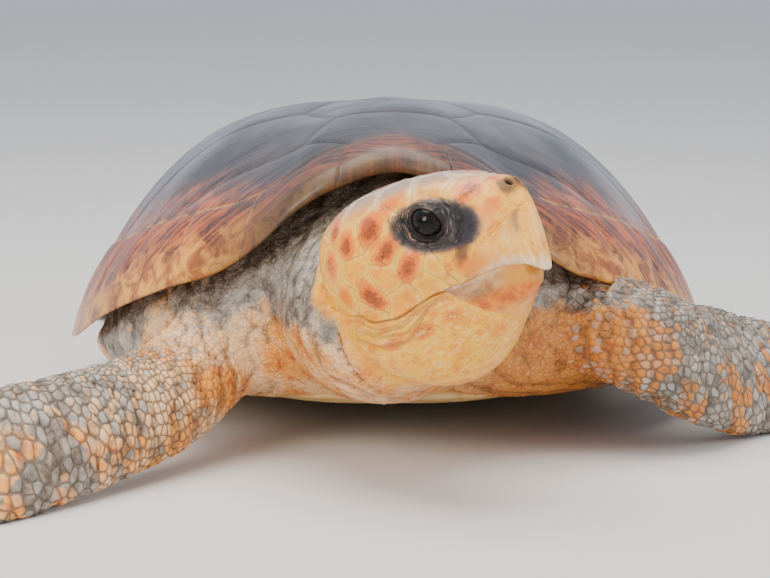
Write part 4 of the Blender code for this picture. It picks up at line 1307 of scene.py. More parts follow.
def lid_distance(place):
    """Distance from each eye's gaze line in its own plane, less the opening there; folded to one side."""
    centre, axes = eye_frame(1)
    x, y, z = ((place - centre) @ axes.T).T
    return np.where(z > -0.03, np.hypot(x, y) - opening(np.arctan2(y, x)), 1.0), np.arctan2(y, x)


def mouth_line(ahead):
    """Height of the mouth's crease: it sags below the cheek's border at its middle and ends hooked up."""
    return gape(ahead) - 0.0056 * ridge(ahead - 0.004, 0.026) + 0.010 * ease(ahead, -0.026, -0.056)


def throat_folds(place):
    """Lines of folded skin below the crease, 1 at their deepest, which fan out behind the mouth's corner; the
    finish darkens them as painted shade.
    """
    f, l, u = place.T
    below, fan = mouth_line(f) - u, 0.3 + 0.7 * ease(f, 0.045, 0.0)
    folds = [ridge(below - d * fan - 0.0012 * np.sin(f * 60 + d * 400), w) for d, w in THROAT_FOLDS]
    return np.max(folds, 0) * ease(f, -0.075, -0.045) * ease(f, 0.062, 0.045) * ease(l, 0.02, 0.05)


def off_beak(place):
    """Distance from the horn of either beak, along the head's side: below 0 under the horn."""
    above_mouth = place[:, 2] > gape(place[:, 0]) - 0.001
    return np.where(above_mouth, over_line(BEAK_LINE, place), -over_line(CHIN_LINE, place))


def lid_rings(place):
    """Wrinkles round each eye, -1 to 1: uneven waves of the distance from the opening, drawn out forward."""
    lids, angle = lid_distance(place)
    drawn = lids * (1 - 0.38 * ease(np.cos(angle + 0.3), -0.1, 0.9))
    drift = 1.3 * np.sin(angle * 2 + 0.6) + 2.0 * ripple(place, 0.026, 5) + 1.3 * ripple(place, 0.011, 6)
    deep = (0.55 + 0.45 * ease(np.sin(angle - 0.3), -0.4, 0.3)) * (0.15 + 0.85 * lid_shade(place))
    deep *= np.clip(0.75 + 0.6 * ripple(place, 0.010, 7), 0.15, 1.2)
    waves = np.sin(drawn * math.tau / LID_WRINKLE + drift)
    return deep * waves * ease(drawn, 0.0008, 0.003) * ease(drawn, 0.026, 0.014)


def off_nostril(place):
    """Distance from a nostril's middle, drawn out a little ahead and up."""
    return norm((place - NOSTRIL) * (1, 1.15, 0.86), axis=1)


def head_relief(place):
    """Height added to the head's skin: its forms, plates, lid wrinkles, nostrils, mouth and throat folds."""
    f, l, u = place.T
    near, after = two_nearest(place)
    gap = after - near
    beak, mouth = off_beak(place), mouth_line(f)
    lids, angle = lid_distance(place)
    plated = ease(u - mouth, -0.002, 0.004) * ease(beak, 0.0, 0.006) * ease(lids, 0.010, 0.018)
    height = plated * (0.0009 * (1 - np.exp(-gap / 0.006)) - 0.0006 * ridge(gap, 0.0024))
    for rise, ahead, length, up, tall, inner, outer in FACE_FORMS:
        height += rise * ridge(f - ahead, length) * ridge(u - up, tall) * ease(l, inner, outer)
    height += 0.0006 * lid_rings(place)
    height -= 0.0011 * ridge(lids - 0.0105, 0.0022) * (0.55 + 0.45 * ease(np.sin(angle - 0.3), -0.4, 0.3))
    nose = ease(l, 0.024, 0.012) * ease(u, 0.030, 0.040)
    height += (0.0024 * ridge(f - 0.116, 0.010) - 0.0010 * ridge(f - 0.134, 0.006)) * nose
    off = off_nostril(place)
    height += 0.0008 * ridge(off - NOSTRIL_RADIUS - 0.0016, 0.0014)
    height -= NOSTRIL_DEPTH * ease(off, NOSTRIL_RADIUS, NOSTRIL_RADIUS * 0.35)
    height -= 0.0016 * ridge(u - mouth, MOUTH_CREASE) * mouth_run(place)
    height -= 0.0012 * throat_folds(place)
    height += 0.00035 * ripple(place, 0.016, 3) * ease(lids, 0.004, 0.02)
    height -= (0.0016 + 0.0025 * ease(f, 0.112, 0.130)) * ease(beak, 0.0003, -0.0025) * ease(f, 0.04, 0.055)
    return height


def body_relief(points, place):
    """Height added to the skin of the body: rings of folds behind the head and across each arm, and lumps;
    and the folds' waves, whose troughs the finishes darken as painted shade.
    """
    x, y, _ = points.T
    behind = -0.105 - place[:, 0]
    drift = 1.7 * ripple(points, 0.11, 11) + 0.8 * ripple(points, 0.045, 12)
    folds = np.sin(behind * math.tau / NECK_FOLD + drift)
    neck = ease(behind, -0.02, 0.01) * ease(behind, 0.16, 0.07)
    height = 0.0017 * neck * (folds - 0.35 * folds**2)
    out, reach = np.abs(x) - 0.11, np.hypot(x, y + 0.25)
    creases = np.sin(reach * math.tau / ARM_FOLD + drift * 1.3 + 1.1 * ripple(points, 0.02, 15))
    shoulder = ease(out, -0.01, 0.03) * ease(reach, 0.62, 0.42) * ease(y, 0.02, -0.12) * (1 - neck)
    height += 0.0018 * shoulder * (creases - 0.5 * creases**2)
    flank = ease(y, -0.16, -0.06) * ease(np.abs(x), 0.22, 0.30)
    pleats = np.sin(y * math.tau / FLANK_FOLD + drift * 1.4)
    height += 0.0022 * flank * (pleats - 0.4 * pleats**2)
    height += 0.0006 * ripple(points, 0.034, 13) + 0.0003 * ripple(points, 0.017, 14)
    return height, neck * folds + shoulder * creases + flank * pleats


def slanted(f, u, middle, slant):
    """Places on the head's side, as distances along and off a line through a middle, slanted up ahead."""
    c, s = math.cos(slant), math.sin(slant)
    return (f - middle[0]) * c + (u - middle[1]) * s, (u - middle[1]) * c - (f - middle[0]) * s


def side_spots(place):
    """Depth of the blotches: each is a slanted ellipse on the head's side, or an ellipse on its crown."""
    f, l, u = place.T
    depth = np.zeros(len(place))
    for ahead, up, length, width, slant, strength in BLOTCHES:
        along, off = slanted(f, u, (ahead, up), math.radians(slant))
        spot = np.hypot(along / length, off / width)
        depth = np.maximum(depth, strength * ease(spot, 1.5, 0.2) * ease(l, 0.014, 0.026))
    for ahead, out, length, width in CROWN_BLOTCHES:
        spot = np.hypot((f - ahead) / length, (l - out) / width)
        depth = np.maximum(depth, 0.7 * ease(spot, 1.4, 0.3) * ease(u, 0.045, 0.06))
    return depth


def warmth(points):
    """Where the hide is orange and cream, not grey: low on neck and chest, and in spots on the arms."""
    x, y, z = points.T
    patchy = 0.5 + 0.28 * ripple(points, 0.07, 21) + 0.22 * ripple(points, 0.03, 22)
    chest = ease(z, 0.20, 0.12) * ease(y, -0.10, -0.28) * ease(np.abs(x), 0.36, 0.17)
    low = ease(z, 0.120, 0.045)
    spots = (0.14 + 0.66 * low) * ease(patchy, 0.44, 0.72)
    arm = ease(np.hypot((x - 0.25) / 0.06, (z - 0.125) / 0.04), 1.3, 0.5) * ease(y, -0.22, -0.30)
    return np.clip(chest * (0.85 + 0.5 * (patchy - 0.5)) + (spots + arm) * (1 - chest), 0, 1)


def dusk(place):
    """Grey shadows on the head: a streak before the eye down to the mouth, and a patch round the nostrils."""
    f, l, u = place.T
    line = 0.097 - 0.5 * np.maximum(0.022 - u, 0.0)
    streak = ridge(f - line, 0.0085) * ease(u, -0.024, -0.002) * ease(u, 0.052, 0.034)
    patch = ridge(f - 0.1235, 0.012) * ridge(u - 0.051, 0.011) * ease(l, 0.022, 0.014)
    return np.clip(0.9 * streak * ease(l, 0.02, 0.03) + patch, 0, 1)


def lid_shade(place):
    """Dark skin round the eye: a slanted ellipse on the head's side, reaching well in front of the lids."""
    f, l, u = place.T
    along, off = slanted(f, u, LID_MIDDLE, LID_SLANT)
    return ease(np.hypot(along / LID_HALVES[0], off / LID_HALVES[1]), 1.25, 0.75) * ease(l, 0.026, 0.036)


def mouth_run(place):
    """1 along the crease between cheek and jaw, which fades at the back of the cheek."""
    return ease(place[:, 0], -0.066, -0.050) * ease(place[:, 1], 0.010, 0.03)


def scaled(points):
    """1 on the flippers, which wear scales of their own: near a flipper's middle line, past its root."""
    shade = np.zeros(len(points))
    for stations, _ in LIMBS.values():
        rows = through(stations, 60)
        near = np.full(len(points), 1.0)
        past = np.zeros(len(points))
        for k, row in enumerate(rows):
            apart = norm(points - row[:3] - MODEL_SHIFT, axis=1) / (row[3] * 0.62)
            past = np.where(apart < near, k / 59, past)
            near = np.minimum(near, apart)
        shade = np.maximum(shade, ease(near, 1.0, 0.9) * ease(past, 0.16, 0.26))
    return shade


def finer(points, triangles, inside):
    """The skin refined inside a part of the head and slid back onto it, and its places folded to one side."""
    points, triangles = refined(points, triangles, inside)
    points = onto_head(points)
    return points, triangles, side_place(points)


def near_mouth(place, below, above, middle, half):
    """Points on the head's side, from `below` to `above` the crease and up to `half` from its middle."""
    over = place[:, 2] - mouth_line(place[:, 0])
    return (over > below) & (over < above) & (np.abs(place[:, 0] - middle) < half) & (place[:, 1] > 0.02)


def make_skin():
    """The one skin, finer on the head in three steps, with lids, and with its relief along its normals."""
    points, triangles = one_skin()
    points, triangles, place = finer(points, triangles, (np.abs(to_head(points)) < HEAD_BOX).all(1))
    fine = (lid_distance(place)[0] < 0.024) | near_mouth(place, -0.022, 0.005, -0.008, 0.093)
    fine |= norm(place - NOSTRIL, axis=1) < 0.013
    points, triangles, place = finer(points, triangles, fine)
    fine = near_mouth(place, -0.003, 0.003, -0.015, 0.07) | (norm(place - NOSTRIL, axis=1) < 0.0085)
    points, triangles, place = finer(points, triangles, fine)
    seam = ridge(place[:, 2] - gape(place[:, 0]) - 0.005, 0.006) * (np.abs(place[:, 0]) < 0.125) * 0.6
    points = relaxed(points, edges_of(triangles)[0], seam[:, None], 8)
    for side in (-1, 1):
        points, triangles = with_lids(points, triangles, side)
    place = side_place(points)
    hard = ease(off_face(to_head(points)), 0.013, 0.003) * ease(place[:, 0], -0.124, -0.110)
    back = ease(place[:, 0], -0.020, -0.060)
    hard = relaxed(hard[:, None], edges_of(triangles)[0], back[:, None], 14)[:, 0]
    hard = np.maximum(hard, (place[:, 0] > 0.100) & (np.abs(place[:, 1:]) < (0.06, 0.13)).all(1))
    on_body, folds = body_relief(points, place)
    relief = head_relief(place) * hard + on_body * (1 - hard)
    points = points + normals_of(points, triangles) * relief[:, None]
    under_tip = ease(off_beak(place), 0.0, -0.006) * ease(place[:, 0], 0.108, 0.118)
    own = to_head(points)
    own[:, 0] -= 0.45 * np.maximum(own[:, 0] - 0.108, 0.0) * under_tip
    points = from_head(own)
    points[:, 2] = np.maximum(points[:, 2], 0.0)
    over_mouth = place[:, 2] - mouth_line(place[:, 0])
    kept = {
        "hard": hard,
        "head_place": place,
        "blotch": side_spots(place) * hard,
        "lid": lid_shade(place) * hard,
        "wrinkle": lid_rings(place) * hard,
        # The mouth's crease, which the finish darkens as painted shade.
        "mouth": ridge(over_mouth, MOUTH_CREASE) * mouth_run(place) * hard,
        "throat": ease(-over_mouth, -0.001, 0.004) * hard,
        "throat_fold": throat_folds(place) * hard,
        "dusk": dusk(place) * hard,
        # Nostrils' pits, painted near-black as shade.
        "nostril_shade": ease(off_nostril(place), NOSTRIL_RADIUS, NOSTRIL_RADIUS * 0.6),
        "scaled": scaled(points),
        "warm": warmth(points),
        # The folds' waves: their troughs are darkened as painted shade.
        "fold": folds * (1 - hard),
    }
    return piece_of("skin", points, triangles, kept)


def hide_colours(look, place, warm):
    """Colour of the leathery hide, with the noises that it is made from; it is painted darker and deeper
    orange on the turtle's left side as shade.
    """
    wide, (mottle, fine) = look.noise(place, 16.0, 4.0, 0.6), look.grains(place)
    grey = look.mix(mottle.step(0.34, 0.66), "554838", "a39482")
    grey = grey.under("c4bcae", wide.step(0.42, 0.66) * 0.5)
    orange = look.mix(mottle.step(0.30, 0.58), "c86210", "fba63c")
    # Painted shade: on the turtle's left (+x) the orange hide turns darker and deeper, and its cream patches
    # stay on the right side.
    right = (look.parts(place, "X")[0]).step(0.14, 0.02)
    orange = orange.under("ffd29c", wide.step(0.40, 0.58) * right * 0.8)
    orange = orange.under("b4640a", (1.0 - right) * 0.45)
    share = (warm + mottle.sway(0.7) + fine.sway(0.3)).step(0.20, 0.56)
    return look.mix(share, grey, orange), mottle, fine


def plate_gap(look, spot, place):
    """0 half way between two of the head's plates, and more towards the middle of one, in metres."""
    sway = look.add("TexNoise", {}, {"Vector": place, "Scale": 42.0, "Detail": 3.0}, "Color")
    sway = look.vectors("SUBTRACT", sway, (0.5, 0.5, 0.5))
    sway = look.add("VectorMath", {"operation": "SCALE"}, {0: sway, "Scale": PLATE_SWAY})
    spot = look.vectors("ADD", spot, sway)
    near, after = None, None
    for middle in PLATES:
        apart = look.add("VectorMath", {"operation": "DISTANCE"}, {0: spot, 1: middle}, "Value")
        if near is None:
            near, after = apart, apart + 1.0
        else:
            near, after = near.least(apart), after.least(near.most(apart))
    return after - near


def plate_colours(look, gap, ahead, up, blotch, mottle, fine):
    """Head plates: yellow-orange, pale at the border, grey on the crown as a painted sky sheen, with ragged
    red-brown blotches.
    """
    warm = look.mix(mottle.step(0.30, 0.66), "e98200", "ffb70a")
    snout = ahead.step(0.080, 0.094)
    border = (gap + mottle.sway(0.022)).step(0.000, 0.012).most(snout)
    plate = look.mix(border * 0.6 + 0.4, "ffd45a", warm)
    plate = plate.under("ffbc50", snout * (fine + mottle).step(0.75, 1.15) * 0.75)
    # Grey on the crown: a painted sky sheen over the plates' own colour.
    crown = look.mix((gap + mottle.sway(0.016)).step(0.002, 0.014), "cfc0ae", "95817a")
    plate = plate.under(crown, (up + mottle.sway(0.03)).step(0.056, 0.084) * 0.85)
    ragged = blotch + mottle.sway(1.5) + fine.sway(0.5)
    plate = plate.under("f07000", ragged.step(0.05, 0.45) * 0.85)
    brown = look.mix(mottle.step(0.35, 0.62), "4a1602", "b04404")
    brown = brown.under("6b4638", up.step(0.040, 0.075) * 0.6)
    plate = plate.under(brown, (ragged + fine.sway(0.4)).step(0.52, 0.90) * 0.85)
    return look.mix(fine.step(0.64, 0.70) * blotch.step(0.2, 0.6) * 0.7, plate, "240f08")


def skin_finish():
    look = Look("turtle_skin", Coat_Roughness=0.25, Specular_IOR_Level=0.32)
    place = look.place()
    hard, lid, fold, scaled = look.reads("hard", "lid", "fold", "scaled")
    hide, mottle, fine = hide_colours(look, place, look.read("warm"))
    grains, creases = look.cells(place, 170.0), look.cells(place, 62.0)
    hide = hide.under("c9c0b4", grains.step(0.05, 0.30) * fine.step(0.35, 0.65) * 0.25)
    seams = grains.step(0.07, 0.0).most(creases.step(0.06, 0.0) * 0.8)
    # Dark seams of the leather's grains and creases, and painted shade in the troughs of the body's folds.
    hide = hide.under("3f3024", seams * 0.45 + fold.step(-0.2, -1.0) * 0.4)
    hide = hide.under("5c5044", scaled * 0.7)
    spot = look.read("head_place", "Vector")
    ahead, up = look.parts(spot, "XZ")
    gap, blotch = plate_gap(look, spot, place), look.read("blotch")
    plate = plate_colours(look, gap, ahead, up, blotch, mottle, fine)
    # Throat: yellow, with orange-centred scales under the cheek and fine creases that run along it.
    small, large = look.cells(place, 95.0), look.cells(place, 46.0)
    drawn = look.vectors("MULTIPLY", spot, (0.22, 1.0, 1.0))
    lines, fine_lines = look.noise(drawn, 170.0, 3.0, 0.6, 0.5), look.noise(drawn, 420.0, 2.0, 0.5, 0.4)
    throat = look.mix(mottle.step(0.34, 0.64), "f09000", "ffbe1e")
    below = (up + ahead * 0.08).step(-0.050, -0.095)
    centres = (large + mottle.sway(0.5)).step(0.12, 0.45) * (1.0 - below)
    throat = throat.under("ec8208", centres * 0.6)
    throat = throat.under("e27200", (blotch + mottle.sway(0.9)).step(0.15, 0.6) * 0.9)
    throat = throat.under("7a2d10", (blotch + fine.sway(1.2)).step(0.62, 0.8) * 0.5)
    throat = throat.under("ffd27a", lines.step(0.50, 0.62) * 0.45)
    throat = throat.under("a8661c", fine_lines.step(0.56, 0.66) * 0.35)
    cracks = small.step(0.04, 0.0) * (0.08 + below * 0.14)
    cracks = cracks + large.step(0.03, 0.0) * (1.0 - below) * 0.3
    # Dark cracks between the throat's scales, and painted shade in the grooves of its folds.
    throat = throat.under("8f5a26", cracks.most(look.read("throat_fold") * 0.6))
    off_head = look.read("throat")
    plate = plate.under(throat, off_head)
    line = gap.step(0.0013, 0.0003) * (1.0 - off_head) * ahead.step(0.095, 0.080)
    plate = plate.under(look.mix(up.step(0.03, 0.07), "9a4c10", "8c8078"), line * 0.45)
    # Painted shade along the mouth's crease.
    plate = plate.under("3c2416", look.read("mouth") * 0.8)
    # Lids and the shadowed hollow before the eye, smoky at their edge.
    dark = look.mix(mottle.step(0.35, 0.65), "0c0a0a", "352a26")
    # The wrinkles' crests are paler: the skin's ochre streaks, with painted highlight on the ridge tops.
    crest = (look.read("wrinkle") + mottle.sway(1.6) + fine.sway(0.6)).step(0.15, 1.0)
    dark = dark.under(look.mix(ahead.step(0.055, 0.085), "94724a", "7a6e72"), crest * 0.85)
    dusk = look.read("dusk")
    shade = lid + mottle.sway(0.9) + fine.sway(0.3)
    plate = plate.under("5a4a52", shade.step(0.05, 0.5) * 0.8)
    plate = plate.under(dark, shade.step(0.25, 0.85))
    plate = plate.under("2e2c32", (dusk + mottle.sway(0.9)).step(0.25, 0.85) * 0.8)
    # Painted shade inside the nostrils.
    plate = plate.under("0d0b0b", look.read("nostril_shade"))
    colour = look.mix((hard + mottle.sway(0.3)).step(0.15, 0.80), hide, plate)
    soft = (1.0 - hard) * (1.0 - scaled * 0.8)
    leather = 0.6 * grains.step(0.0, 0.35) + 0.5 * creases.step(0.0, 0.2)
    relief = look.bump(soft * leather, 0.0011)
    relief = look.bump(mottle * 0.5 + fine * 0.3 - line * 0.35 * hard, 0.0009, relief)
    wet = 0.22 + mottle * 0.3 + hard * up.step(0.045, 0.075) * 0.6
    look.wear(
        Base_Color=colour,
        Roughness=0.46 + fine * 0.1 - hard * 0.08 + lid * 0.12 + dusk * 0.2,
        Coat_Weight=wet * (1.0 - lid * 0.85) * (1.0 - dusk * 0.9),
        Normal=relief,
    )
    return look


FLESH = ["trunk", "neck", "head", "jaw", "tail", "hind_flipper_left", "hind_flipper_right"]
FLESH += ["front_arm_left", "front_arm_right", "front_blade_left", "front_blade_right"]
skin = make_skin()
fit(skin, skin_finish(), "skin", *FLESH)

# ------------------------------------------------------------------ beaks
# The jaws are sheathed in horn: a deep upper beak with a pale cutting edge, and a lower one that shuts
# inside it. Both grade into the head's plates with no step.
BEAK_RISE = 0.0002
BEAK_TUCK = 0.0026
BEAK_RAYS, BEAK_ROWS = 300, 110


def horn_cap(surface, line, reach, sign):
    """A beak's horn: on each ray round the head it runs from the line to the tip, with its edge tucked in."""
    turn = even_turn(BEAK_RAYS)

    def bare(ahead):
        return (surface(ahead, turn)[:, 2] - line_height(line, ahead)) * sign > 0

    low = halved(np.full(BEAK_RAYS, reach[0]), np.full(BEAK_RAYS, reach[1] - 0.001), 26, bare)
    share = np.sin(np.linspace(0, 1, BEAK_ROWS) * math.pi / 2)[:, None] * 0.999
    rows = surface(low + (reach[1] - low) * share, turn[None, :])
    normals = grid_normals(rows)
    outward = (normals * (rows - rows.mean(1, keepdims=True))).sum(-1, keepdims=True)
    normals *= np.sign(outward.mean(1, keepdims=True))
    rise = BEAK_RISE * ease(np.arange(BEAK_ROWS), 0.0, 5.0)[:, None, None]
    tucked = rows[:1] - normals[:1] * BEAK_TUCK
    rings = np.concatenate([tucked, rows + normals * rise])
    tip = rings[-1].mean(0) + (rings[-1].mean(0) - rings[-2].mean(0)) * 0.5
    return closed_grid(rings, rings[0].mean(0) * 0.5 + rings[2].mean(0) * 0.5, tip)


def make_beak(name, surface, line, reach, sign):
    """A beak with the values that its colours need; `sign` is 1 for the upper one and -1 for the lower."""
    place, triangles = horn_cap(surface, line, reach, sign)
    points = from_head(place)
    folded = np.stack([place[:, 0], np.abs(place[:, 1]), place[:, 2]], -1)
    kept = {
        "head_place": folded,
        "rise": folded[:, 2] - gape(folded[:, 0]),
        "inner": (line_height(line, folded[:, 0]) - folded[:, 2]) * sign,
        "blotch": side_spots(folded),
        "dusk": dusk(folded),
    }
    return piece_of(name, points, faced_out(points, triangles), kept)


def beak_start(name):
    """A beak's material, with its places, its height over the mouth line and its noises."""
    look = Look(name, Coat_Roughness=0.2, Specular_IOR_Level=0.35)
    place, spot = look.place(), look.read("head_place", "Vector")
    return look, place, spot, *look.parts(spot, "XZ"), look.read("rise"), *look.grains(place)


def beak_end(look, horn, fine, wet, relief):
    """Horn's shine: rougher in its fine grain, wetter in patches."""
    relief = look.bump(relief, 0.0006)
    look.wear(Base_Color=horn, Roughness=0.36 + fine * 0.18, Coat_Weight=0.25 + wet * 0.2, Normal=relief)
    return look


def upper_beak_finish():
    look, place, spot, ahead, up, rise, mottle, fine = beak_start("beak_horn")
    blotch = look.read("blotch")
    grain = look.noise(look.vectors("MULTIPLY", spot, (1.0, 1.0, 0.22)), 160.0, 4.0, 0.6)
    horn = plate_colours(look, plate_gap(look, spot, place), ahead, up, blotch, mottle, fine)
    drawn = grain.step(0.40, 0.62) * look.read("inner").step(0.0, 0.012)
    horn = horn.under("ffd488", drawn * 0.5)
    orange = (rise + mottle.sway(0.02)).step(0.030, 0.012) * ahead.step(0.125, 0.095)
    horn = horn.under("ee8406", orange * 0.75)
    streak = abs(ahead - 0.130 + mottle.sway(0.012)).step(0.0055, 0.0) * up.step(-0.004, 0.010)
    horn = horn.under("5e4e4c", streak * up.step(0.040, 0.026) * 0.6)
    # The cutting edge is worn pale: a band that widens towards the tip and melts into the horn over it.
    band = (rise + mottle.sway(0.006)) / (0.006 + 0.010 * ahead.step(0.075, 0.135))
    pale = look.mix(grain.step(0.4, 0.6), "dcbf94", "f4e0be")
    horn = horn.under(pale, band.step(1.25, 0.25) * 0.85)
    horn = horn.under("8a5a30", rise.step(0.0014, 0.0001) * 0.75)
    horn = horn.under(look.mix(mottle.step(0.4, 0.6), "3c3b40", "75675d"), look.read("dusk") * 0.85)
    return beak_end(look, horn, fine, grain, grain * 0.5 + fine * 0.3 + mottle * 0.2)


def lower_beak_finish():
    look, _, _, ahead, _, rise, mottle, fine = beak_start("lower_beak_horn")
    drop = rise * -1.0
    horn = look.mix(mottle.step(0.34, 0.66), "a06434", "cc9a60")
    horn = horn.under("e0921c", ahead.step(0.096, 0.112) * 0.85)
    low = look.mix(mottle.step(0.36, 0.6), "c85a00", "ea8604")
    horn = horn.under(low, (drop + mottle.sway(0.014)).step(0.012, 0.021))
    smudge = abs(ahead - 0.080).step(0.013, 0.002) * abs(drop - 0.015).step(0.009, 0.001)
    horn = horn.under("4a3022", smudge * mottle.step(0.42, 0.6))
    horn = horn.under("e9dccb", fine.step(0.66, 0.74) * drop.step(0.02, 0.008) * 0.6)
    horn = horn.under("f4ae4a", (drop + mottle.sway(0.01)).step(0.028, 0.040) * 0.7)
    return beak_end(look, horn, fine, mottle, mottle * 0.4 + fine * 0.4)


upper_beak = make_beak("upper_beak_horn", head_surface, BEAK_LINE, (0.050, HEAD_TIP[0]), 1)
fit(upper_beak, upper_beak_finish(), "beak_horn", "upper_beak")
lower_beak = make_beak("lower_beak_horn", jaw_surface, CHIN_LINE, (0.020, JAW_TIP[0]), -1)
fit(lower_beak, lower_beak_finish(), "beak_horn", "lower_beak")

# ------------------------------------------------------------------ eyes
# Large dark eyes, wet, with a brown iris that hardly shows round the pupil.
EYE_RAYS, EYE_ROWS = 96, 72
CORNEA_RISE, CORNEA_REACH = 0.0009, 0.0105


def make_eye(name, side):
    """A ball with rings round its gaze, bulged over the iris by a smooth bump."""
    centre, axes = eye_frame(side)
    turn = even_turn(EYE_RAYS)[None, :]
    lean = np.linspace(0.02, math.pi - 0.02, EYE_ROWS)[:, None]
    off = np.sin(lean) * EYE_RADIUS
    radius = EYE_RADIUS + CORNEA_RISE * ridge(off, CORNEA_REACH) * (lean < math.pi / 2)
    out, height = radius * np.sin(lean), radius * np.cos(lean) + 0 * turn
    ball = np.stack([out * np.cos(turn), out * np.sin(turn), height], -1)
    front, back = np.array((0, 0, EYE_RADIUS + CORNEA_RISE)), np.array((0, 0, -EYE_RADIUS))
    place, triangles = closed_grid(ball, front, back)
    points = from_head(centre + place @ axes)
    off = np.hypot(place[:, 0], place[:, 1]) + np.where(place[:, 2] < 0, 1.0, 0.0)
    return piece_of(name, points, faced_out(points, triangles), {"off": off, "eye_place": place})


def eye_finish():
    look = Look("wet_eye", Specular_IOR_Level=0.22)
    off, spot = look.read("off"), look.read("eye_place", "Vector")
    fibres = look.noise(spot, 1400.0, 3.0, 0.6)
    cloudy = look.noise(spot, 240.0, 3.0, 0.6)
    ring = look.mix(fibres.step(0.4, 0.65), "080504", "22140b")
    colour = look.mix(off.step(0.0050, 0.0058), "020202", ring)
    white = look.mix(cloudy.step(0.4, 0.65), "0a0808", "201b18")
    colour = colour.under(white, off.step(0.0092, 0.0104))
    look.wear(Base_Color=colour, Roughness=0.05 + off.step(0.009, 0.011) * 0.15)
    return look


eye_look = eye_finish()
for name, side in (("left", 1), ("right", -1)):
    fit(make_eye(f"eyeball_{name}", side), eye_look, "eye", f"eye_{name}")

# ------------------------------------------------------------------ claws
# Two short claws on the leading edge of every flipper, of dark horn with a worn pale tip.
FRONT_CLAWS, HIND_CLAWS = (5.15, 6.35), (4.6, 5.5)
CLAW_LENGTH, CLAW_RADIUS, CLAW_ROOT_DEPTH = 0.016, 0.0045, 0.007
CLAW_HOOK = (0.2, 0.5)


def make_claw(name, stations, place, leading):
    """A hooked cone: rings on a line that curves along the flipper, their radius falling as a power."""
    rows = through(stations, 101)
    at = round(place / (len(stations) - 1) * 100)
    centres, across, _ = limb_axes(rows, leading)
    root = centres[at] + across[at] * (rows[at, 3] / 2 - CLAW_ROOT_DEPTH)
    root[2] = max(root[2], CLAW_RADIUS + 0.003)
    level, run = unit(across[at] * (1, 1, 0)), unit((centres[at] - centres[at - 1]) * (1, 1, 0))
    side = np.cross(level, run)
    turn = even_turn(24)
    circle = np.cos(turn)[:, None] * run + np.sin(turn)[:, None] * side * 0.85
    lean, curve = CLAW_HOOK
    along = np.sin(np.linspace(0, 0.985, 20) * math.pi / 2)[:, None, None]
    radius = CLAW_RADIUS * (1 - along**2.2) ** 0.75
    rings = root + (level + run * (lean + curve * along)) * CLAW_LENGTH * along + circle * radius
    tip = root + (level + run * (lean + curve)) * CLAW_LENGTH
    points, triangles = closed_grid(rings + MODEL_SHIFT, root + MODEL_SHIFT, tip + MODEL_SHIFT)
    share = np.concatenate([np.repeat(along.ravel(), len(turn)), [0.0, 1.0]])
    return piece_of(name, points, triangles, {"share": share})


def claw_finish():
    look = Look("claw_horn", Coat_Weight=0.3, Coat_Roughness=0.25)
    share, grain = look.read("share"), look.noise(look.place(), 420.0, 4.0, 0.6)
    colour = look.mix((share + grain.sway(0.4)).step(0.35, 0.85), "3a2c22", "b08a5a")
    look.wear(Base_Color=colour, Roughness=0.38 + grain * 0.2, Normal=look.bump(grain, 0.0004))
    return look


claw_look = claw_finish()
for limb, (stations, leading) in LIMBS.items():
    pair, side = limb.split("_")
    for number, place in enumerate(FRONT_CLAWS if pair == "front" else HIND_CLAWS, 1):
        name = f"{pair}_claw_{side}_{number}"
        fit(make_claw(name + "_horn", stations, place, leading), claw_look, "claw_horn", name)

# ------------------------------------------------------------------ scales
# Flat horny scales pave the flippers: large and broad along the leading edge, small behind it and towards
# the body. Dark skin shows in the gaps between them.
SCALE_SIDES = 12
SCALE_GAP = 0.0011
# Rings of one scale, from its sunk edge to its middle: share of the reach, height over the skin.
SCALE_RINGS = ((1.0, -0.0012), (0.93, 0.0004), (0.62, 0.0008))
SCALE_TOP, SCALE_ROOT = 0.0009, -0.0014
# A scale this wide stands that high; smaller ones are lower in proportion.
FULL_WIDTH = 0.005
# A scale whose ground lies further from the skin than this is left out, as one under the shell is.
FARTHEST = 0.0045
LEADING_SPREAD = 0.055
# From scale to scale behind a flipper's root and on its blade, for the front and the hind pair.
PITCHES = {"front": (0.0076, 0.0140), "hind": (0.0100, 0.0125)}
# Each limb's own quarter of the OFBake map: its width with a margin, its size, and one scale's patch in it.
HOME_STRIDE, HOME_MARGIN, HOME_SIZE, PATCH = 0.25, 0.01, (0.23, 0.47), 0.003


def sampled(grid, along, round_share):
    """Values between a grid's rings and rays: `along` counts rings, `round_share` is the share of a turn."""
    rings, rays = grid.shape[:2]
    along = np.clip(along, 0, rings - 1.001)
    ray = (round_share % 1.0) * rays
    a, b = along.astype(int), ray.astype(int) % rays
    p, q = (along - a)[..., None], (ray - ray.astype(int))[..., None]
    c = (b + 1) % rays
    here, further = (grid[k, b] * (1 - q) + grid[k, c] * q for k in (a, a + 1))
    return here * (1 - p) + further * p


def scale_seeds(runs, girths, pitch, chance):
    """Jittered rows of seeds on the unrolled form: place along it in metres, and share of a turn."""
    seeds, place = [], pitch(0.0)
    while place < runs[-1]:
        step = pitch(place / runs[-1])
        count = max(int(np.interp(place, runs, girths) / step), 5)
        turn = (np.arange(count) + chance.uniform() + chance.uniform(-0.26, 0.26, count)) / count
        turn += LEADING_SPREAD * np.sin(math.tau * turn)
        seeds.append(np.stack([place + chance.uniform(-0.26, 0.26, count) * step, turn % 1.0], -1))
        place += step * 0.9
    return np.concatenate(seeds)


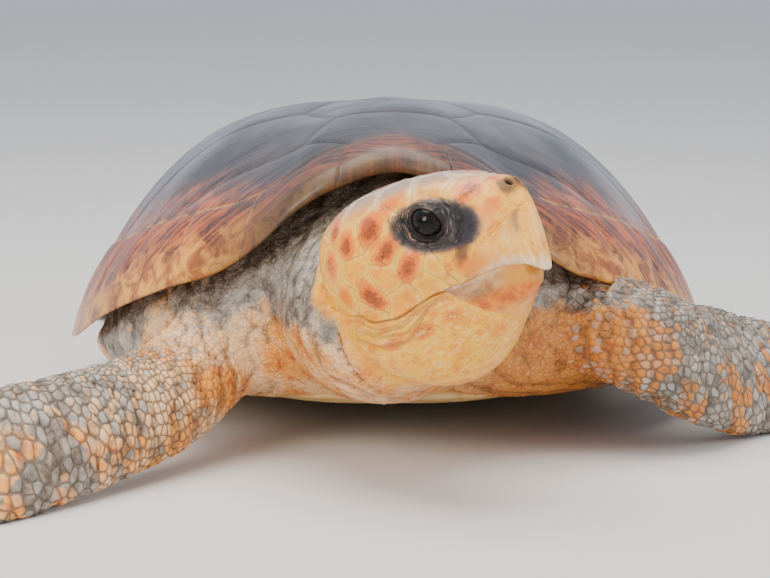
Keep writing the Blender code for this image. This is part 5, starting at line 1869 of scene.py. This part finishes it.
def cell_reach(seeds, girth, cap):
    """How far each seed's own ground reaches in each direction: half way to the neighbours, up to a cap."""
    away = seeds[None, :, 0] - seeds[:, None, 0]
    around = (seeds[None, :, 1] - seeds[:, None, 1] + 0.5) % 1.0 - 0.5
    around = around * girth[:, None]
    square = away**2 + around**2
    np.fill_diagonal(square, 1.0)
    reach = np.empty((len(seeds), SCALE_SIDES))
    for k, angle in enumerate(even_turn(SCALE_SIDES)):
        toward = away * math.cos(angle) + around * math.sin(angle)
        half = np.where(toward > 1e-5, square / (2 * np.maximum(toward, 1e-5)), 1.0)
        reach[:, k] = np.minimum(half.min(1), cap) - SCALE_GAP / 2
    return np.maximum(reach, 0.0008)


def scale_faces():
    """Triangles of one scale: between its rings, then fans to its top and to its underside's middle."""
    ring = np.arange(SCALE_SIDES)
    beside = np.roll(ring, -1)
    last = SCALE_SIDES * (len(SCALE_RINGS) - 1)
    top = last + SCALE_SIDES
    faces = [np.stack([beside, ring, np.full(SCALE_SIDES, top + 1)], -1)]
    for low in range(0, last, SCALE_SIDES):
        high = low + SCALE_SIDES
        faces.append(np.stack([low + ring, low + beside, high + beside], -1))
        faces.append(np.stack([low + ring, high + beside, high + ring], -1))
    faces.append(np.stack([last + ring, last + beside, np.full(SCALE_SIDES, top)], -1))
    return np.concatenate(faces)


def make_scales(name, grid, pitch, number):
    """Scales on a form of rings, laid on the skin by its nearest surface and raised along the form's normals.

    `number` is the limb's own, for its random draws and its part of the OFBake map.
    """
    chance = np.random.default_rng(number)
    centres = grid.mean(1)
    runs = np.concatenate([[0], np.cumsum(norm(np.diff(centres, axis=0), axis=1))])
    girths = norm(np.roll(grid, -1, 1) - grid, axis=-1).sum(1)
    seeds = scale_seeds(runs, girths, pitch, chance)
    girth = np.interp(seeds[:, 0], runs, girths)
    reach = cell_reach(seeds, girth, pitch(seeds[:, 0] / runs[-1]).max())
    shares, heights = np.array(SCALE_RINGS).T
    off = reach[:, None, :] * shares[:, None]
    # The rings of every scale, then its top and its underside's middle.
    angle, ends = even_turn(SCALE_SIDES), np.zeros((len(seeds), 2))
    parts = (off * np.cos(angle), off * np.sin(angle))
    away, around = (np.concatenate([part.reshape(len(seeds), -1), ends], 1) for part in parts)
    rows = np.interp(seeds[:, :1] + away, runs, np.arange(len(runs)))
    turns = seeds[:, 1:] + around / girth[:, None]
    normals = grid_normals(grid)
    normals *= np.sign((normals * (grid - centres[:, None])).sum())
    base, lie = sampled(grid, rows, turns), unit(sampled(normals, rows, turns))
    faces, each = scale_faces(), base.shape[1]

    def spread_out(count):
        """The triangles of `count` scales, one after the other."""
        return (faces[None] + (np.arange(count) * each)[:, None, None]).reshape(-1, 3)

    laid = piece_of("laid_scales", base.reshape(-1, 3), spread_out(len(seeds)))
    wrap = laid.modifiers.new("onto_skin", "SHRINKWRAP")
    wrap.target = skin
    onto = arrays_of(laid)[0].reshape(base.shape)
    bpy.data.objects.remove(laid)
    shift = norm(onto - base, axis=-1).max(1)
    tall = np.concatenate([np.repeat(heights, SCALE_SIDES), [SCALE_TOP, SCALE_ROOT]])
    small = np.clip(reach.mean(1) / FULL_WIDTH, 0.3, 1.1)[:, None]
    points = onto + lie * np.where(tall > 0, tall * small, tall)[..., None]
    shown = (shift < FARTHEST) & (points[..., 2].min(1) > 0.0002)
    points, count = points[shown], int(shown.sum())
    share = np.concatenate([np.repeat(shares, SCALE_SIDES), [0.0, 1.0]])
    flat = points.reshape(-1, 3)
    triangles = spread_out(count)
    a, b, c = (flat[triangles[:, k]] for k in range(3))
    if (np.cross(b - a, c - a) * lie[shown].reshape(-1, 3)[triangles[:, 0]]).sum() < 0:
        triangles = triangles[:, ::-1]
    kept = {
        "tone": np.repeat(chance.uniform(0, 1, count), each),
        "share": np.tile(share, count),
        "warm": warmth(flat),
        "fold": body_relief(flat, to_head(flat))[1],
    }
    piece = piece_of(name, flat, triangles, kept)
    corner = (HOME_STRIDE * number + HOME_MARGIN, HOME_MARGIN)
    middle = np.stack([seeds[shown, 0] / runs[-1], seeds[shown, 1]], -1) * HOME_SIZE + corner
    spoke = np.stack([away, around], -1)[shown]
    spoke = spoke / (2 * np.abs(spoke).max((1, 2), keepdims=True)) * PATCH
    unwrap = (middle[:, None] + spoke).reshape(-1, 2)
    corners = np.empty(len(piece.data.loops), np.int32)
    piece.data.loops.foreach_get("vertex_index", corners)
    piece.data.uv_layers.new(name="OFBake").data.foreach_set("uv", unwrap[corners].astype(np.float32).ravel())
    return piece


def scale_finish():
    look = Look("flipper_scale", Coat_Roughness=0.25, Specular_IOR_Level=0.35)
    place = look.place()
    tone, share = look.read("tone"), look.read("share")
    colour, mottle, fine = hide_colours(look, place, look.read("warm") + tone.sway(0.6))
    colour = colour.under("cdc8c0", tone.step(0.55, 0.0) * 0.4)
    # Painted shade in the troughs of the body's folds.
    colour = colour.under("5a4c40", look.read("fold").step(-0.1, -1.0) * 0.5)
    colour = colour.under("5c5044", share.step(0.72, 1.0) * 0.5)
    relief = look.bump(mottle * 0.4 + fine * 0.5, 0.0005)
    look.wear(Base_Color=colour, Roughness=0.46 + fine * 0.14, Coat_Weight=0.15 + tone * 0.3, Normal=relief)
    return look


scale_look = scale_finish()
for number, (limb, (stations, leading)) in enumerate(LIMBS.items()):
    small, large = PITCHES[limb.split("_")[0]]

    def pitch(share):
        """From scale to scale, at a share of the way along the limb."""
        return small + (large - small) * ease(share, 0.25, 0.7)

    made = make_scales(f"{limb}_scales", limb_rings(stations, 150, leading), pitch, number)
    made.data.materials.append(scale_look.material)
    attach(made, "root")
